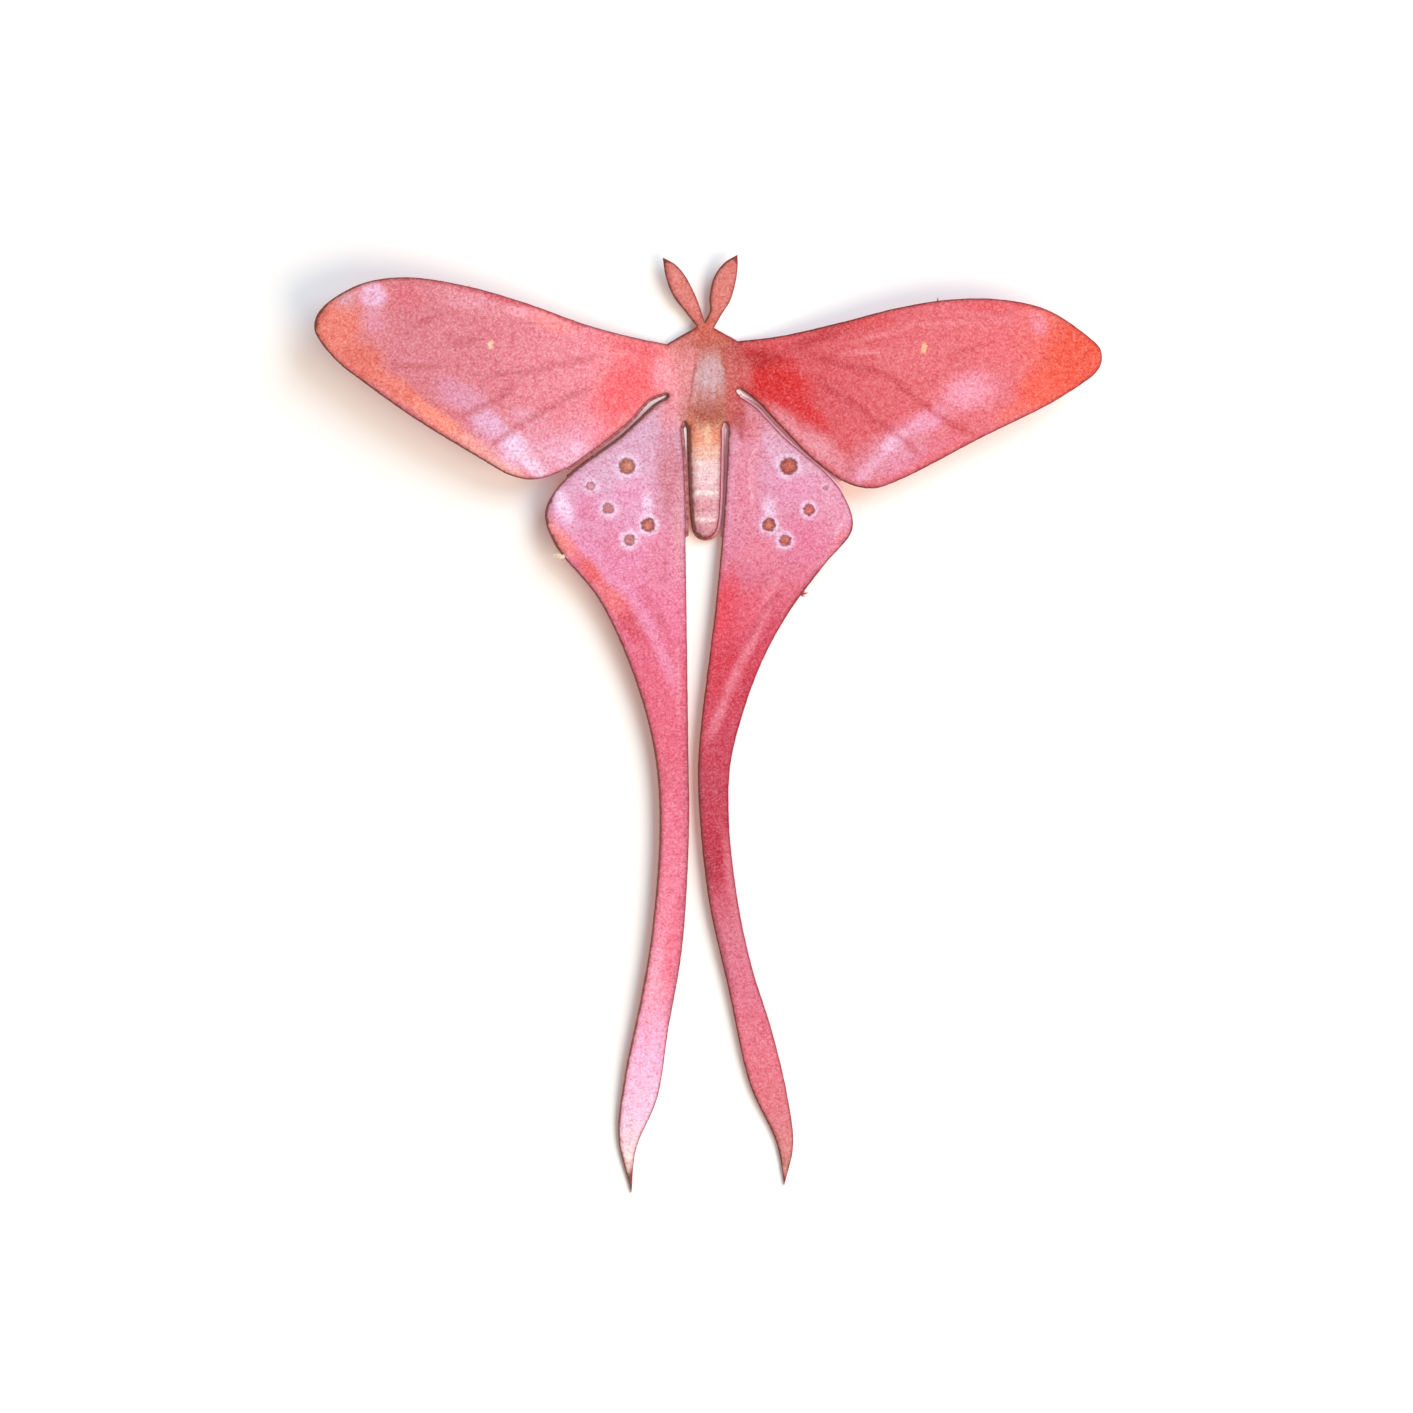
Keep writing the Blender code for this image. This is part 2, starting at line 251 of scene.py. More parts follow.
def smooth_run(knots, spacing):
    """Points of a smooth curve through the knots (centripetal Catmull-Rom)."""
    points = [Vector(knot) for knot in knots]
    points.insert(0, 2 * points[0] - points[1])
    points.append(2 * points[-1] - points[-2])
    run = []
    for before, start, end, after in zip(points, points[1:], points[2:], points[3:]):
        t1 = math.sqrt((start - before).length)
        t2 = t1 + math.sqrt((end - start).length)
        t3 = t2 + math.sqrt((after - end).length)
        steps = max(1, round((end - start).length / spacing))
        for step in range(steps):
            t = t1 + (t2 - t1) * step / steps
            a1 = before.lerp(start, t / t1)
            a2 = start.lerp(end, (t - t1) / (t2 - t1))
            a3 = end.lerp(after, (t - t2) / (t3 - t2))
            b1 = a1.lerp(a2, t / t2)
            b2 = a2.lerp(a3, (t - t1) / (t3 - t1))
            run.append(b1.lerp(b2, (t - t1) / (t2 - t1)))
    run.append(points[-2])
    return run


def side_outline(side):
    """One side's edge from the notch down to the abdomen's tip, as (x, y) points."""
    slot = WING_SLOT[side]
    body_slot = BODY_SLOT[side]
    runs = [
        [NOTCH] + ANTENNA_INNER[side] + [ANTENNA_TIP[side]],
        [ANTENNA_TIP[side]] + ANTENNA_OUTER[side] + [ANTENNA_BASE[side]],
        [ANTENNA_BASE[side], SHOULDER[side]],
        [SHOULDER[side]] + FOREWING[side] + [slot[0]],
        slot,
        [slot[-1]] + HINDWING[side] + TAIL[side] + [TIP[side]],
        [TIP[side]] + INNER_EDGE[side] + [body_slot[0]],
        body_slot,
        [body_slot[-1]] + ABDOMEN[side] + [ABDOMEN_TIP],
    ]
    points = []
    for knots in runs:
        points += smooth_run(knots, CURVE_STEP)[:-1]
    return [Vector((side * point.x, point.y)) for point in points]


def wandering_cut(points):
    """The outline as the laser leaves it, a little uneven, inside the solids' box."""
    low, high = CAD_BOX
    cut = []
    for before, point, after in zip(points[-1:] + points[:-1], points, points[1:] + points[:1]):
        across = (after - before).orthogonal().normalized()
        wave = noise.noise(Vector((point.x * CUT_WAVE, point.y * CUT_WAVE, 0.0)))
        ripple = noise.noise(Vector((point.x * CUT_RIPPLE, point.y * CUT_RIPPLE, 7.0)))
        moved = point + across * CUT_WANDER * (wave + RIPPLE_SHARE * ripple)
        moved.x = min(max(moved.x, low[0] / MM), high[0] / MM)
        moved.y = min(max(moved.y, low[1] / MM), high[1] / MM)
        cut.append(moved)
    return cut


def card_outline():
    """The whole edge, clockwise from the notch between the antennae."""
    left = side_outline(LEFT)
    return wandering_cut(side_outline(RIGHT) + [Vector(ABDOMEN_TIP)] + left[:0:-1])


def straight_between(knots, place):
    """The height of a line through knots, read at a place along it."""
    index = min(max(bisect.bisect([knot[0] for knot in knots], place), 1), len(knots) - 1)
    (start, low), (end, high) = knots[index - 1], knots[index]
    share = min(max((place - start) / (end - start), 0.0), 1.0)
    return low + (high - low) * share


def inner_edge_knots(side):
    """The hindwing's and tail's inner edge as (along, out), from the tip upwards."""
    knots = [TIP[side]] + INNER_EDGE[side] + [BODY_SLOT[side][0], WING_SLOT[side][-1]]
    return [(point.y, point.x) for point in smooth_run(knots, KNOT_STEP)]


INNER_EDGE_KNOTS = {side: inner_edge_knots(side) for side in (LEFT, RIGHT)}
BACK_LIFT_KNOTS = [(point.x, point.y) for point in smooth_run(BACK_LIFT, KNOT_STEP)]


def rounded_ramp(reach):
    """A ramp of slope 1 that starts level and bends up over FOLD_ROUND."""
    if reach <= 0.0:
        return 0.0
    if reach < FOLD_ROUND:
        return reach * reach / (2.0 * FOLD_ROUND)
    return reach - FOLD_ROUND / 2.0


def curved_rise(reach, slope, lift):
    """A rise that starts with a slope past the fold and levels out below a lift."""
    return lift * (1.0 - math.exp(-slope * rounded_ramp(reach) / lift))


def smooth_step(value):
    value = min(max(value, 0.0), 1.0)
    return value * value * (3.0 - 2.0 * value)


def side_at(x, y):
    """The side of the moth that a place belongs to."""
    middle = 0.0 if y > ABDOMEN_TIP[1] else TAIL_GAP
    return LEFT if x < middle else RIGHT


def is_abdomen(x, y):
    narrowing = min((y - ABDOMEN_BACK) / (ABDOMEN_NARROWS - ABDOMEN_BACK), 1.0)
    reach = ABDOMEN_BACK_REACH + (ABDOMEN_REACH - ABDOMEN_BACK_REACH) * narrowing
    return ABDOMEN_BACK < y < ABDOMEN_FRONT and abs(x) < reach


def front_rise(out, along):
    """The lift of the head, which fades out along the forewings' roots."""
    fade = 1.0 - smooth_step((out - FOLD_OUT) / FRONT_FADE)
    return FRONT_SLOPE * rounded_ramp(along - FRONT_START) * fade


def forewing_rise(out, along, side):
    wing = curved_rise(out - FOLD_OUT, FOREWING_SLOPE[side], FOREWING_LIFT[side])
    return wing + front_rise(out, along)


def hindwing_rise(out, along, side):
    reach = out - straight_between(INNER_EDGE_KNOTS[side], along)
    wing = curved_rise(reach, HINDWING_SLOPE[side], HINDWING_LIFT)
    level = smooth_step((along - TAIL_TIP) / (FLATTEN_START - TAIL_TIP))
    return wing * level + max(straight_between(BACK_LIFT_KNOTS, along), 0.0)


def card_height(x, y):
    """The height of the card's underside at a place, in millimetres."""
    side = side_at(x, y)
    out = side * x
    if y > ANTENNA_LINE and out < ANTENNA_REACH:
        return front_rise(0.0, y)
    if is_abdomen(x, y):
        return ABDOMEN_LIFT * smooth_step((ABDOMEN_LINE - y) / ABDOMEN_RUN)
    if y > straight_between(SLOT_MIDDLE[side], out):
        return forewing_rise(out, y, side)
    return hindwing_rise(out, y, side)


def body_share(x, y):
    """How much of the body's print, not a wing's, lies at a place."""
    if is_abdomen(x, y) or (y > ANTENNA_LINE and abs(x) < ANTENNA_REACH):
        return 1.0
    fade = 1.0 - smooth_step((abs(x) - BODY_REACH) / BODY_FADE)
    return fade * smooth_step((y - BODY_PRINT_END) / BODY_PRINT_FADE)


def print_at(x, y):
    """The name of the print that covers a place."""
    if body_share(x, y) > WHOLLY_BODY:
        return "body"
    side = side_at(x, y)
    wing = "forewing" if y > straight_between(SLOT_MIDDLE[side], side * x) else "hindwing"
    return wing + ("_left" if side == LEFT else "_right")


def pick(obj):
    """Make one object the only one that is selected and active."""
    bpy.ops.object.select_all(action="DESELECT")
    obj.select_set(True)
    bpy.context.view_layer.objects.active = obj


def apply_modifier(obj, kind, **settings):
    pick(obj)
    modifier = obj.modifiers.new(kind.lower(), kind)
    for name, value in settings.items():
        setattr(modifier, name, value)
    bpy.ops.object.modifier_apply(modifier=modifier.name)


def smooth_shade(obj):
    pick(obj)
    bpy.ops.object.shade_smooth_by_angle(angle=SMOOTH_ANGLE)


def flat_sheet(outline):
    """The outline filled with one face and divided into small cells, in millimetres."""
    curve = bpy.data.curves.new("card_moth", "CURVE")
    curve.dimensions = "2D"
    curve.fill_mode = "NONE"
    spline = curve.splines.new("POLY")
    spline.points.add(len(outline) - 1)
    for point, place in zip(spline.points, outline):
        point.co = (place.x, place.y, 0.0, 1.0)
    spline.use_cyclic_u = True
    card = bpy.data.objects.new("card_moth", curve)
    bpy.context.scene.collection.objects.link(card)
    pick(card)
    bpy.ops.object.convert(target="MESH")
    card = bpy.context.view_layer.objects.active
    bpy.ops.object.mode_set(mode="EDIT")
    bpy.ops.mesh.select_all(action="SELECT")
    bpy.ops.mesh.edge_face_add()
    for axis in (0, 1):
        places = [place[axis] for place in outline]
        first = math.floor(min(places) / CELL)
        last = math.ceil(max(places) / CELL)
        for index in range(first, last):
            middle = (index + 0.5) * CELL
            bpy.ops.mesh.select_all(action="SELECT")
            bpy.ops.mesh.bisect(
                plane_co=(middle, middle, 0.0),
                plane_no=(1.0, 0.0, 0.0) if axis == 0 else (0.0, 1.0, 0.0),
            )
    bpy.ops.mesh.select_all(action="SELECT")
    bpy.ops.mesh.normals_make_consistent(inside=False)
    bpy.ops.object.mode_set(mode="OBJECT")
    return card


def in_slot(x, y):
    """Whether a place on the cut edge lies in one of the slots beside the body."""
    out = abs(x)
    beside_abdomen = out < BODY_SLOT_REACH and BODY_SLOT_BACK < y < BODY_SLOT_FRONT
    if is_abdomen(x, y) or beside_abdomen:
        return True
    middle = straight_between(SLOT_MIDDLE[side_at(x, y)], out)
    return SLOT_MIDDLE[RIGHT][0][0] < out < SLOT_REACH and abs(y - middle) < SLOT_HALF_WIDTH


def edge_samples(outline):
    """Close points on the cut edge, each with its scorched line's breadth and its way out."""
    samples = []
    for start, end in zip(outline, outline[1:] + outline[:1]):
        length = (end - start).length
        if length < 1e-6:
            continue
        outward = Vector((start.y - end.y, end.x - start.x)).normalized()
        # cuts that face left, away from the lamps, get a broader line: partly scorch, partly painted shade
        turned = 0.5 - 0.5 * outward.x
        reach = NARROW_SCORCH + (BROAD_SCORCH - NARROW_SCORCH) * turned
        if is_abdomen(*start) or any((start - place).length < extent for place, extent in BURNT_CUTS):
            reach *= DEEP_SCORCH
        count = max(1, round(length / EDGE_SAMPLE))
        samples += [(start.lerp(end, step / count), reach, outward) for step in range(count)]
    return samples


def mark_sheet(card, outline):
    """Write on each point of the flat card what its print and scorch follow.

    Returns how far the cut leans out below each point on the edge of a slot.
    """
    samples = edge_samples(outline)
    tree = kdtree.KDTree(len(samples))
    for index, (place, _, _) in enumerate(samples):
        tree.insert((place.x, place.y, 0.0), index)
    tree.balance()
    mesh = card.data
    from_cut = mesh.attributes.new("from_cut", "FLOAT", "POINT")
    brown = mesh.attributes.new("brown", "FLOAT", "POINT")
    body = mesh.attributes.new("body", "FLOAT", "POINT")
    tapers = {}
    for vert in mesh.vertices:
        x, y, _ = vert.co
        _, index, distance = tree.find(vert.co)
        _, reach, outward = samples[index]
        from_cut.data[vert.index].value = distance / reach
        brown.data[vert.index].value = 0.5 - 0.5 * outward.x
        body.data[vert.index].value = body_share(x, y)
        if distance < EDGE_SAMPLE and in_slot(x, y):
            tapers[vert.index] = outward * (SLOT_TAPER + RIGHT_TAPER * max(outward.x, 0.0)) * MM
    return tapers


def face_finish(face):
    """The name of the finish that a face of the bent card has."""
    if face.normal.z > FACING:
        return print_at(face.center.x / MM, face.center.y / MM)
    return "underside" if face.normal.z < -FACING else "cut_wall"


def lean_cut(card, tapers, flat_count):
    """Lean the slots' walls, by moving the lower point of each pair on their edges, so that the walls' dark
    colour covers the slots' floor as painted shade.
    """
    verts = card.data.vertices
    for index, lean in tapers.items():
        pair = verts[index], verts[index + flat_count]
        min(pair, key=lambda vert: vert.co.z).co.xy += lean


def card_sheet():
    """The moth's one sheet of card, cut, bent and given its thickness."""
    outline = card_outline()
    card = flat_sheet(outline)
    tapers = mark_sheet(card, outline)
    flat_count = len(card.data.vertices)
    for vert in card.data.vertices:
        x, y, _ = vert.co
        vert.co = (x * MM, y * MM, card_height(x, y) * MM)
    if card.data.polygons[0].normal.z < 0.0:
        card.data.flip_normals()
    apply_modifier(card, "SOLIDIFY", thickness=THICKNESS * MM, offset=1.0, use_even_offset=True)
    finishes = card_finishes()
    for material in finishes.values():
        card.data.materials.append(material)
    slots = list(finishes)
    for face in card.data.polygons:
        face.material_index = slots.index(face_finish(face))
    lean_cut(card, tapers, flat_count)
    smooth_shade(card)
    return card


def torn_tab(name, place, fibres, material):
    """A small tuft of torn card left on the cut edge, as one piece of tapered fibres."""
    side = side_at(*place)
    height = card_height(side * (abs(place[0]) - TAB_INSET), place[1]) + THICKNESS / 2.0
    parts = []
    for turn, length, width in fibres:
        bpy.ops.object.select_all(action="DESELECT")
        bpy.ops.mesh.primitive_cone_add(
            vertices=TAB_SIDES, radius1=width / 2.0 * MM, radius2=0.0, depth=length * MM
        )
        fibre = bpy.context.view_layer.objects.active
        aim = Vector((math.cos(math.radians(turn)), math.sin(math.radians(turn)), TAB_TILT))
        fibre.rotation_euler = aim.to_track_quat("Z", "Y").to_euler()
        fibre.location = (Vector((*place, height)) + aim * (length / 2.0 - TAB_ROOT)) * MM
        bpy.ops.object.transform_apply(location=True, rotation=True, scale=True)
        parts.append(fibre)
    bpy.ops.object.select_all(action="DESELECT")
    for part in parts:
        part.select_set(True)
    tab = parts[0]
    bpy.context.view_layer.objects.active = tab
    bpy.ops.object.join()
    tab.name = name
    noise.seed_set(TAB_SEED)
    for vert in tab.data.vertices:
        x, y, z = vert.co / MM
        shake = noise.noise_vector(Vector((x * TAB_WAVE, y * TAB_WAVE, z * TAB_WAVE)))
        vert.co += shake * TAB_ROUGHNESS * MM
    tab.data.materials.append(material)
    smooth_shade(tab)
    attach(tab, "root")


def ink(red, green, blue):
    """A printed colour as the eye sees it, in 0 to 255, for a node."""
    def linear(value):
        value /= 255.0
        return value / 12.92 if value <= 0.04045 else ((value + 0.055) / 1.055) ** 2.4
    return (PRINT_TONE * linear(red), PRINT_TONE * linear(green), PRINT_TONE * linear(blue), 1.0)


def node(tree, kind, inputs=None, **settings):
    """Add a node with its settings, and set or join its inputs."""
    made = tree.nodes.new(kind)
    for name, value in settings.items():
        setattr(made, name, value)
    for name, value in (inputs or {}).items():
        if isinstance(value, bpy.types.NodeSocket):
            tree.links.new(value, made.inputs[name])
        else:
            made.inputs[name].default_value = value
    return made


def maths(tree, operation, *values):
    return node(tree, "ShaderNodeMath", dict(enumerate(values)), operation=operation).outputs[0]


def vector_maths(tree, operation, *values):
    return node(tree, "ShaderNodeVectorMath", dict(enumerate(values)), operation=operation).outputs[0]


def length_of(tree, vector):
    return node(tree, "ShaderNodeVectorMath", {0: vector}, operation="LENGTH").outputs["Value"]


def mixed(tree, factor, first, second, blend="MIX"):
    """Two colours mixed by a factor."""
    made = node(tree, "ShaderNodeMix", {0: factor, 6: first, 7: second}, data_type="RGBA", blend_type=blend)
    return made.outputs[2]


def ranged(tree, value, start, end, low=0.0, high=1.0):
    """A value eased from one range into another."""
    settings = {"Value": value, "From Min": start, "From Max": end, "To Min": low, "To Max": high}
    return node(tree, "ShaderNodeMapRange", settings, interpolation_type="SMOOTHSTEP").outputs[0]


def speckle(tree, place, scale, detail=2.0, roughness=0.5):
    settings = {"Vector": place, "Scale": scale, "Detail": detail, "Roughness": roughness}
    return node(tree, "ShaderNodeTexNoise", settings).outputs["Fac"]


def ramp(tree, value, stops):
    """Colours that follow each other along a value, as (place, colour) stops."""
    made = node(tree, "ShaderNodeValToRGB", {"Fac": value})
    steps = made.color_ramp.elements
    for place, colour in stops[2:]:
        steps.new(place)
    for step, (place, colour) in zip(steps, stops):
        step.position = place
        step.color = colour
    return made.outputs[0]


def socket_kind(value):
    """The kind of socket that a value fits: a colour's, a vector's or a number's."""
    if isinstance(value, float):
        return "NodeSocketFloat"
    return "NodeSocketColor" if len(value) == 4 else "NodeSocketVector"


def new_group(name, inputs, outputs):
    """An empty node group with sockets named and valued, and its two ends."""
    group = bpy.data.node_groups.new(name, "ShaderNodeTree")
    for in_out, sockets in (("INPUT", inputs), ("OUTPUT", outputs)):
        for label, value in sockets.items():
            socket = group.interface.new_socket(name=label, in_out=in_out, socket_type=socket_kind(value))
            socket.default_value = value
    start = group.nodes.new("NodeGroupInput").outputs
    end = group.nodes.new("NodeGroupOutput").inputs
    return group, start, end


def use_group(tree, group, inputs):
    return node(tree, "ShaderNodeGroup", inputs, node_tree=group).outputs


WHITE = (1.0, 1.0, 1.0, 1.0)
ORIGIN = (0.0, 0.0, 0.0)


def make_wash_group():
    """A soft-edged oval of ink laid over a colour."""
    group, start, end = new_group(
        "ink_wash",
        {
            "Under": WHITE,
            "Place": ORIGIN,
            "Centre": ORIGIN,
            "Size": (1.0, 1.0, 1.0),
            "Turn": ORIGIN,
            "Inner": 0.5,
            "Outer": 1.0,
            "Strength": 1.0,
            "Ink": WHITE,
        },
        {"Colour": WHITE},
    )
    inputs = {
        "Vector": start["Place"],
        "Location": start["Centre"],
        "Rotation": start["Turn"],
        "Scale": start["Size"],
    }
    oval = node(group, "ShaderNodeMapping", inputs, vector_type="TEXTURE").outputs[0]
    cover = ranged(group, length_of(group, oval), start["Inner"], start["Outer"], start["Strength"], 0.0)
    group.links.new(mixed(group, cover, start["Under"], start["Ink"]), end["Colour"])
    return group


def make_eyespot_group():
    """A round eyespot: a pale halo, a dark rim and a rust-brown core."""
    group, start, end = new_group(
        "eyespot",
        {
            "Under": WHITE,
            "Place": ORIGIN,
            "Centre": ORIGIN,
            "Radius": 1.0,
            "Halo": 2.0,
            "Halo Strength": 0.8,
            "Strength": 1.0,
            "Halo Ink": WHITE,
            "Core Ink": WHITE,
            "Rim Ink": WHITE,
        },
        {"Colour": WHITE},
    )
    away = vector_maths(group, "SUBTRACT", start["Place"], start["Centre"])
    reach = maths(group, "DIVIDE", length_of(group, away), start["Radius"])
    halo = ranged(group, reach, 1.0, start["Halo"], start["Halo Strength"], 0.0)
    colour = mixed(group, halo, start["Under"], start["Halo Ink"])
    for part, edge in (("Rim Ink", RIM_EDGE), ("Core Ink", CORE_EDGE)):
        colour = mixed(group, ranged(group, reach, *edge, start["Strength"], 0.0), colour, start[part])
    group.links.new(colour, end["Colour"])
    return group


def make_grain_group():
    """The card's felt-marked grain: tone, bright flecks and relief, from millimetres."""
    outputs = {"Tone": 0.0, "Fleck": 0.0, "Height": 0.0}
    group, start, end = new_group("card_grain", {"Place": ORIGIN}, outputs)
    place = start["Place"]
    mottle = speckle(group, place, 2.3, 4.0, 0.75)
    cloud = speckle(group, place, 0.8, 2.0, 0.5)
    tone = maths(group, "MULTIPLY_ADD", mottle, 0.75, maths(group, "MULTIPLY", cloud, 0.25))
    group.links.new(tone, end["Tone"])
    threads = ranged(group, speckle(group, place, 6.0, 1.0, 0.5), 0.58, 0.7, 0.0, 0.8)
    for turn, scale in ((0.5, 3.8), (-0.9, 4.2), (1.9, 4.0)):
        settings = {"Vector": place, "Rotation": (0.0, 0.0, turn), "Scale": (1.0, FIBRE_STRETCH, 1.0)}
        drawn_out = node(group, "ShaderNodeMapping", settings, vector_type="TEXTURE").outputs[0]
        fibres = ranged(group, speckle(group, drawn_out, scale, 2.0, 0.6), 0.55, 0.68)
        threads = maths(group, "MAXIMUM", threads, fibres)
    group.links.new(threads, end["Fleck"])
    height = maths(group, "MULTIPLY_ADD", mottle, 0.7, maths(group, "MULTIPLY", threads, 0.3))
    group.links.new(height, end["Height"])
    return group


def make_scorch_group():
    """The laser's scorched line beside the cut, and the thin soot next to it."""
    inputs = {"From Cut": 1.0, "Place": ORIGIN}
    group, start, end = new_group("scorched_cut", inputs, {"Scorch": 0.0, "Soot": 0.0})
    uneven = speckle(group, start["Place"], 1.1, 3.0, 0.6)
    shifted = maths(group, "MULTIPLY_ADD", maths(group, "SUBTRACT", uneven, 0.5), 1.1, start["From Cut"])
    group.links.new(ranged(group, shifted, *SCORCH_EDGE, 1.0, 0.0), end["Scorch"])
    group.links.new(ranged(group, shifted, *SOOT_EDGE, 1.0, 0.0), end["Soot"])
    return group


# Where an eyespot's rim and core fade out, as shares of its radius
RIM_EDGE = (0.8, 1.12)
CORE_EDGE = (0.25, 0.85)

# Where the scorch and the soot fade out, as shares of the scorched line's breadth
SCORCH_EDGE = (0.35, 1.0)
SOOT_EDGE = (0.5, 2.6)
SOOT_SHARE = 0.5

WASH = make_wash_group()
EYESPOT = make_eyespot_group()
GRAIN = make_grain_group()
SCORCH = make_scorch_group()

# The inks of the eyespots' halos and of the scorched line, and what soot darkens by
LILAC_WHITE = ink(240, 206, 236)
BROWN_SCORCH = ink(96, 36, 10)
CRIMSON_SCORCH = ink(142, 34, 52)
SOOT = (0.36, 0.12, 0.1, 1.0)

# How far the cuts face left, from the crimson ones to the brown ones; the brown is partly scorch and partly
# painted shade
BROWN_CUTS = (0.35, 0.7)

# A rose glow painted on the underside as emission, standing in for the light that comes through the thin
# card, under the wings and under the tails
WING_PAINTED_GLOW = (0.28, 0.108, 0.09, 1.0)
TAIL_PAINTED_GLOW = (0.44, 0.13, 0.07, 1.0)
TAIL_GLOW_START = 15.0
TAIL_GLOW_FULL = 23.0

# What the grain's hollows and fibres multiply the print by, and the bare fibres that show
DARK_GRAIN = (0.78, 0.46, 0.5, 1.0)
LIGHT_GRAIN = (1.08, 1.36, 1.32, 1.0)
PALE_FIBRE = ink(255, 230, 236)
PALE_SHARE = 0.08
FLECK_SHARE = 0.1

# The grain's tones between which its hollows end and its pale parts start
HOLLOW_TONES = (0.36, 0.54)
PALE_TONES = (0.49, 0.6)

# The unevenness that the roughness follows, and the roughness and relief of each finish
UNEVENNESS = (0.3, 0.7)
PRINT_ROUGHNESS = (0.62, 0.44)
BARE_ROUGHNESS = (0.6, 0.42)
BURNT_ROUGHNESS = (0.9, 0.7)
CARD_RELIEF = {"Strength": 0.35, "Distance": 0.00012}
WALL_RELIEF = {"Strength": 0.5, "Distance": 0.0001}

# The cut's walls: how they are streaked, and how far right they are painted lighter, in metres. Their
# mauve-brown is partly scorch and partly painted shade for the slots; the pale colour on the right is a
# painted highlight for the lit right-hand slots
WALL_STREAKS = (1000.0, 1000.0, 120.0)
WALL_SCORCH_AND_SHADE = [(0.3, ink(106, 56, 60)), (0.5, ink(154, 88, 94)), (0.72, ink(196, 128, 132))]
PAINTED_LIT_WALL = ink(240, 178, 198)
PAINTED_LIT_WALL_OUT = 0.005

# What each side's wings are multiplied by: the right ones are made lighter, a painted sheen for the light
# they catch
WING_SHEEN_TONE = {LEFT: (1.0, 1.0, 1.0, 1.0), RIGHT: (1.12, 1.16, 1.18, 1.0)}

# Each part's colours in 0 to 255, by how far out or towards the tail they lie, in millimetres
# These inks are print with painted light: the left side's lighter, pinker tones and the right side's darker
# reds stand for wings turned towards and away from the lamps
FOREWING_INKS_AND_LIGHT = {
    LEFT: [
        (4, (226, 124, 134)), (12, (234, 112, 120)), (20, (226, 120, 138)),
        (34, (218, 116, 132)), (48, (214, 112, 124)), (56, (226, 124, 126)),
        (62, (226, 126, 112)),
    ],
    RIGHT: [
        (4, (212, 84, 84)), (12, (224, 80, 88)), (20, (218, 82, 90)),
        (34, (222, 94, 104)), (48, (222, 104, 116)), (55, (230, 94, 84)),
        (63, (224, 82, 68)),
    ],
}
# The left tail's pale lower end is a painted sheen highlight, and the right tail's deep crimson is partly
# painted shade
HINDWING_INKS_AND_LIGHT = {
    LEFT: [
        (2, (206, 140, 154)), (8, (212, 158, 184)), (18, (222, 164, 200)),
        (27, (226, 134, 176)), (36, (228, 116, 156)), (46, (220, 86, 120)),
        (60, (220, 88, 120)), (73, (228, 106, 138)), (86, (236, 124, 154)),
        (97, (240, 140, 170)), (108, (252, 178, 218)), (118, (253, 202, 234)),
        (125, (255, 226, 228)), (130, (240, 200, 184)),
    ],
    RIGHT: [
        (2, (212, 122, 128)), (8, (222, 144, 166)), (16, (226, 150, 180)),
        (26, (224, 130, 160)), (36, (220, 88, 112)), (46, (212, 50, 78)),
        (57, (204, 58, 84)), (67, (198, 50, 76)), (79, (198, 40, 68)),
        (89, (222, 116, 140)), (99, (226, 112, 138)), (109, (228, 112, 130)),
        (119, (214, 114, 124)), (129, (204, 138, 122)),
    ],
}
BODY_INKS = [
    (-20, (220, 124, 118)), (-10.5, (220, 118, 108)), (-8, (206, 88, 68)),
    (-5, (196, 94, 80)), (0, (198, 108, 98)), (4, (188, 104, 84)),
    (7, (198, 128, 96)), (9, (230, 156, 124)), (11, (240, 178, 158)),
    (14, (240, 196, 200)), (20, (236, 182, 194)), (25, (222, 150, 160)),
]

# The flanks' left and right inks differ partly by painted light, following the wings beside them
FLANK_INKS_AND_LIGHT = {
    LEFT: [
        (-9, (212, 120, 124)), (-5.5, (222, 128, 128)), (-2, (240, 144, 154)),
        (2, (242, 146, 158)), (7, (226, 146, 164)), (10, (218, 148, 168)),
    ],
    RIGHT: [
        (-9, (204, 96, 92)), (-5.5, (188, 68, 64)), (-2, (204, 84, 82)),
        (2, (202, 82, 80)), (7, (194, 72, 72)), (10, (218, 98, 112)),
    ],
}

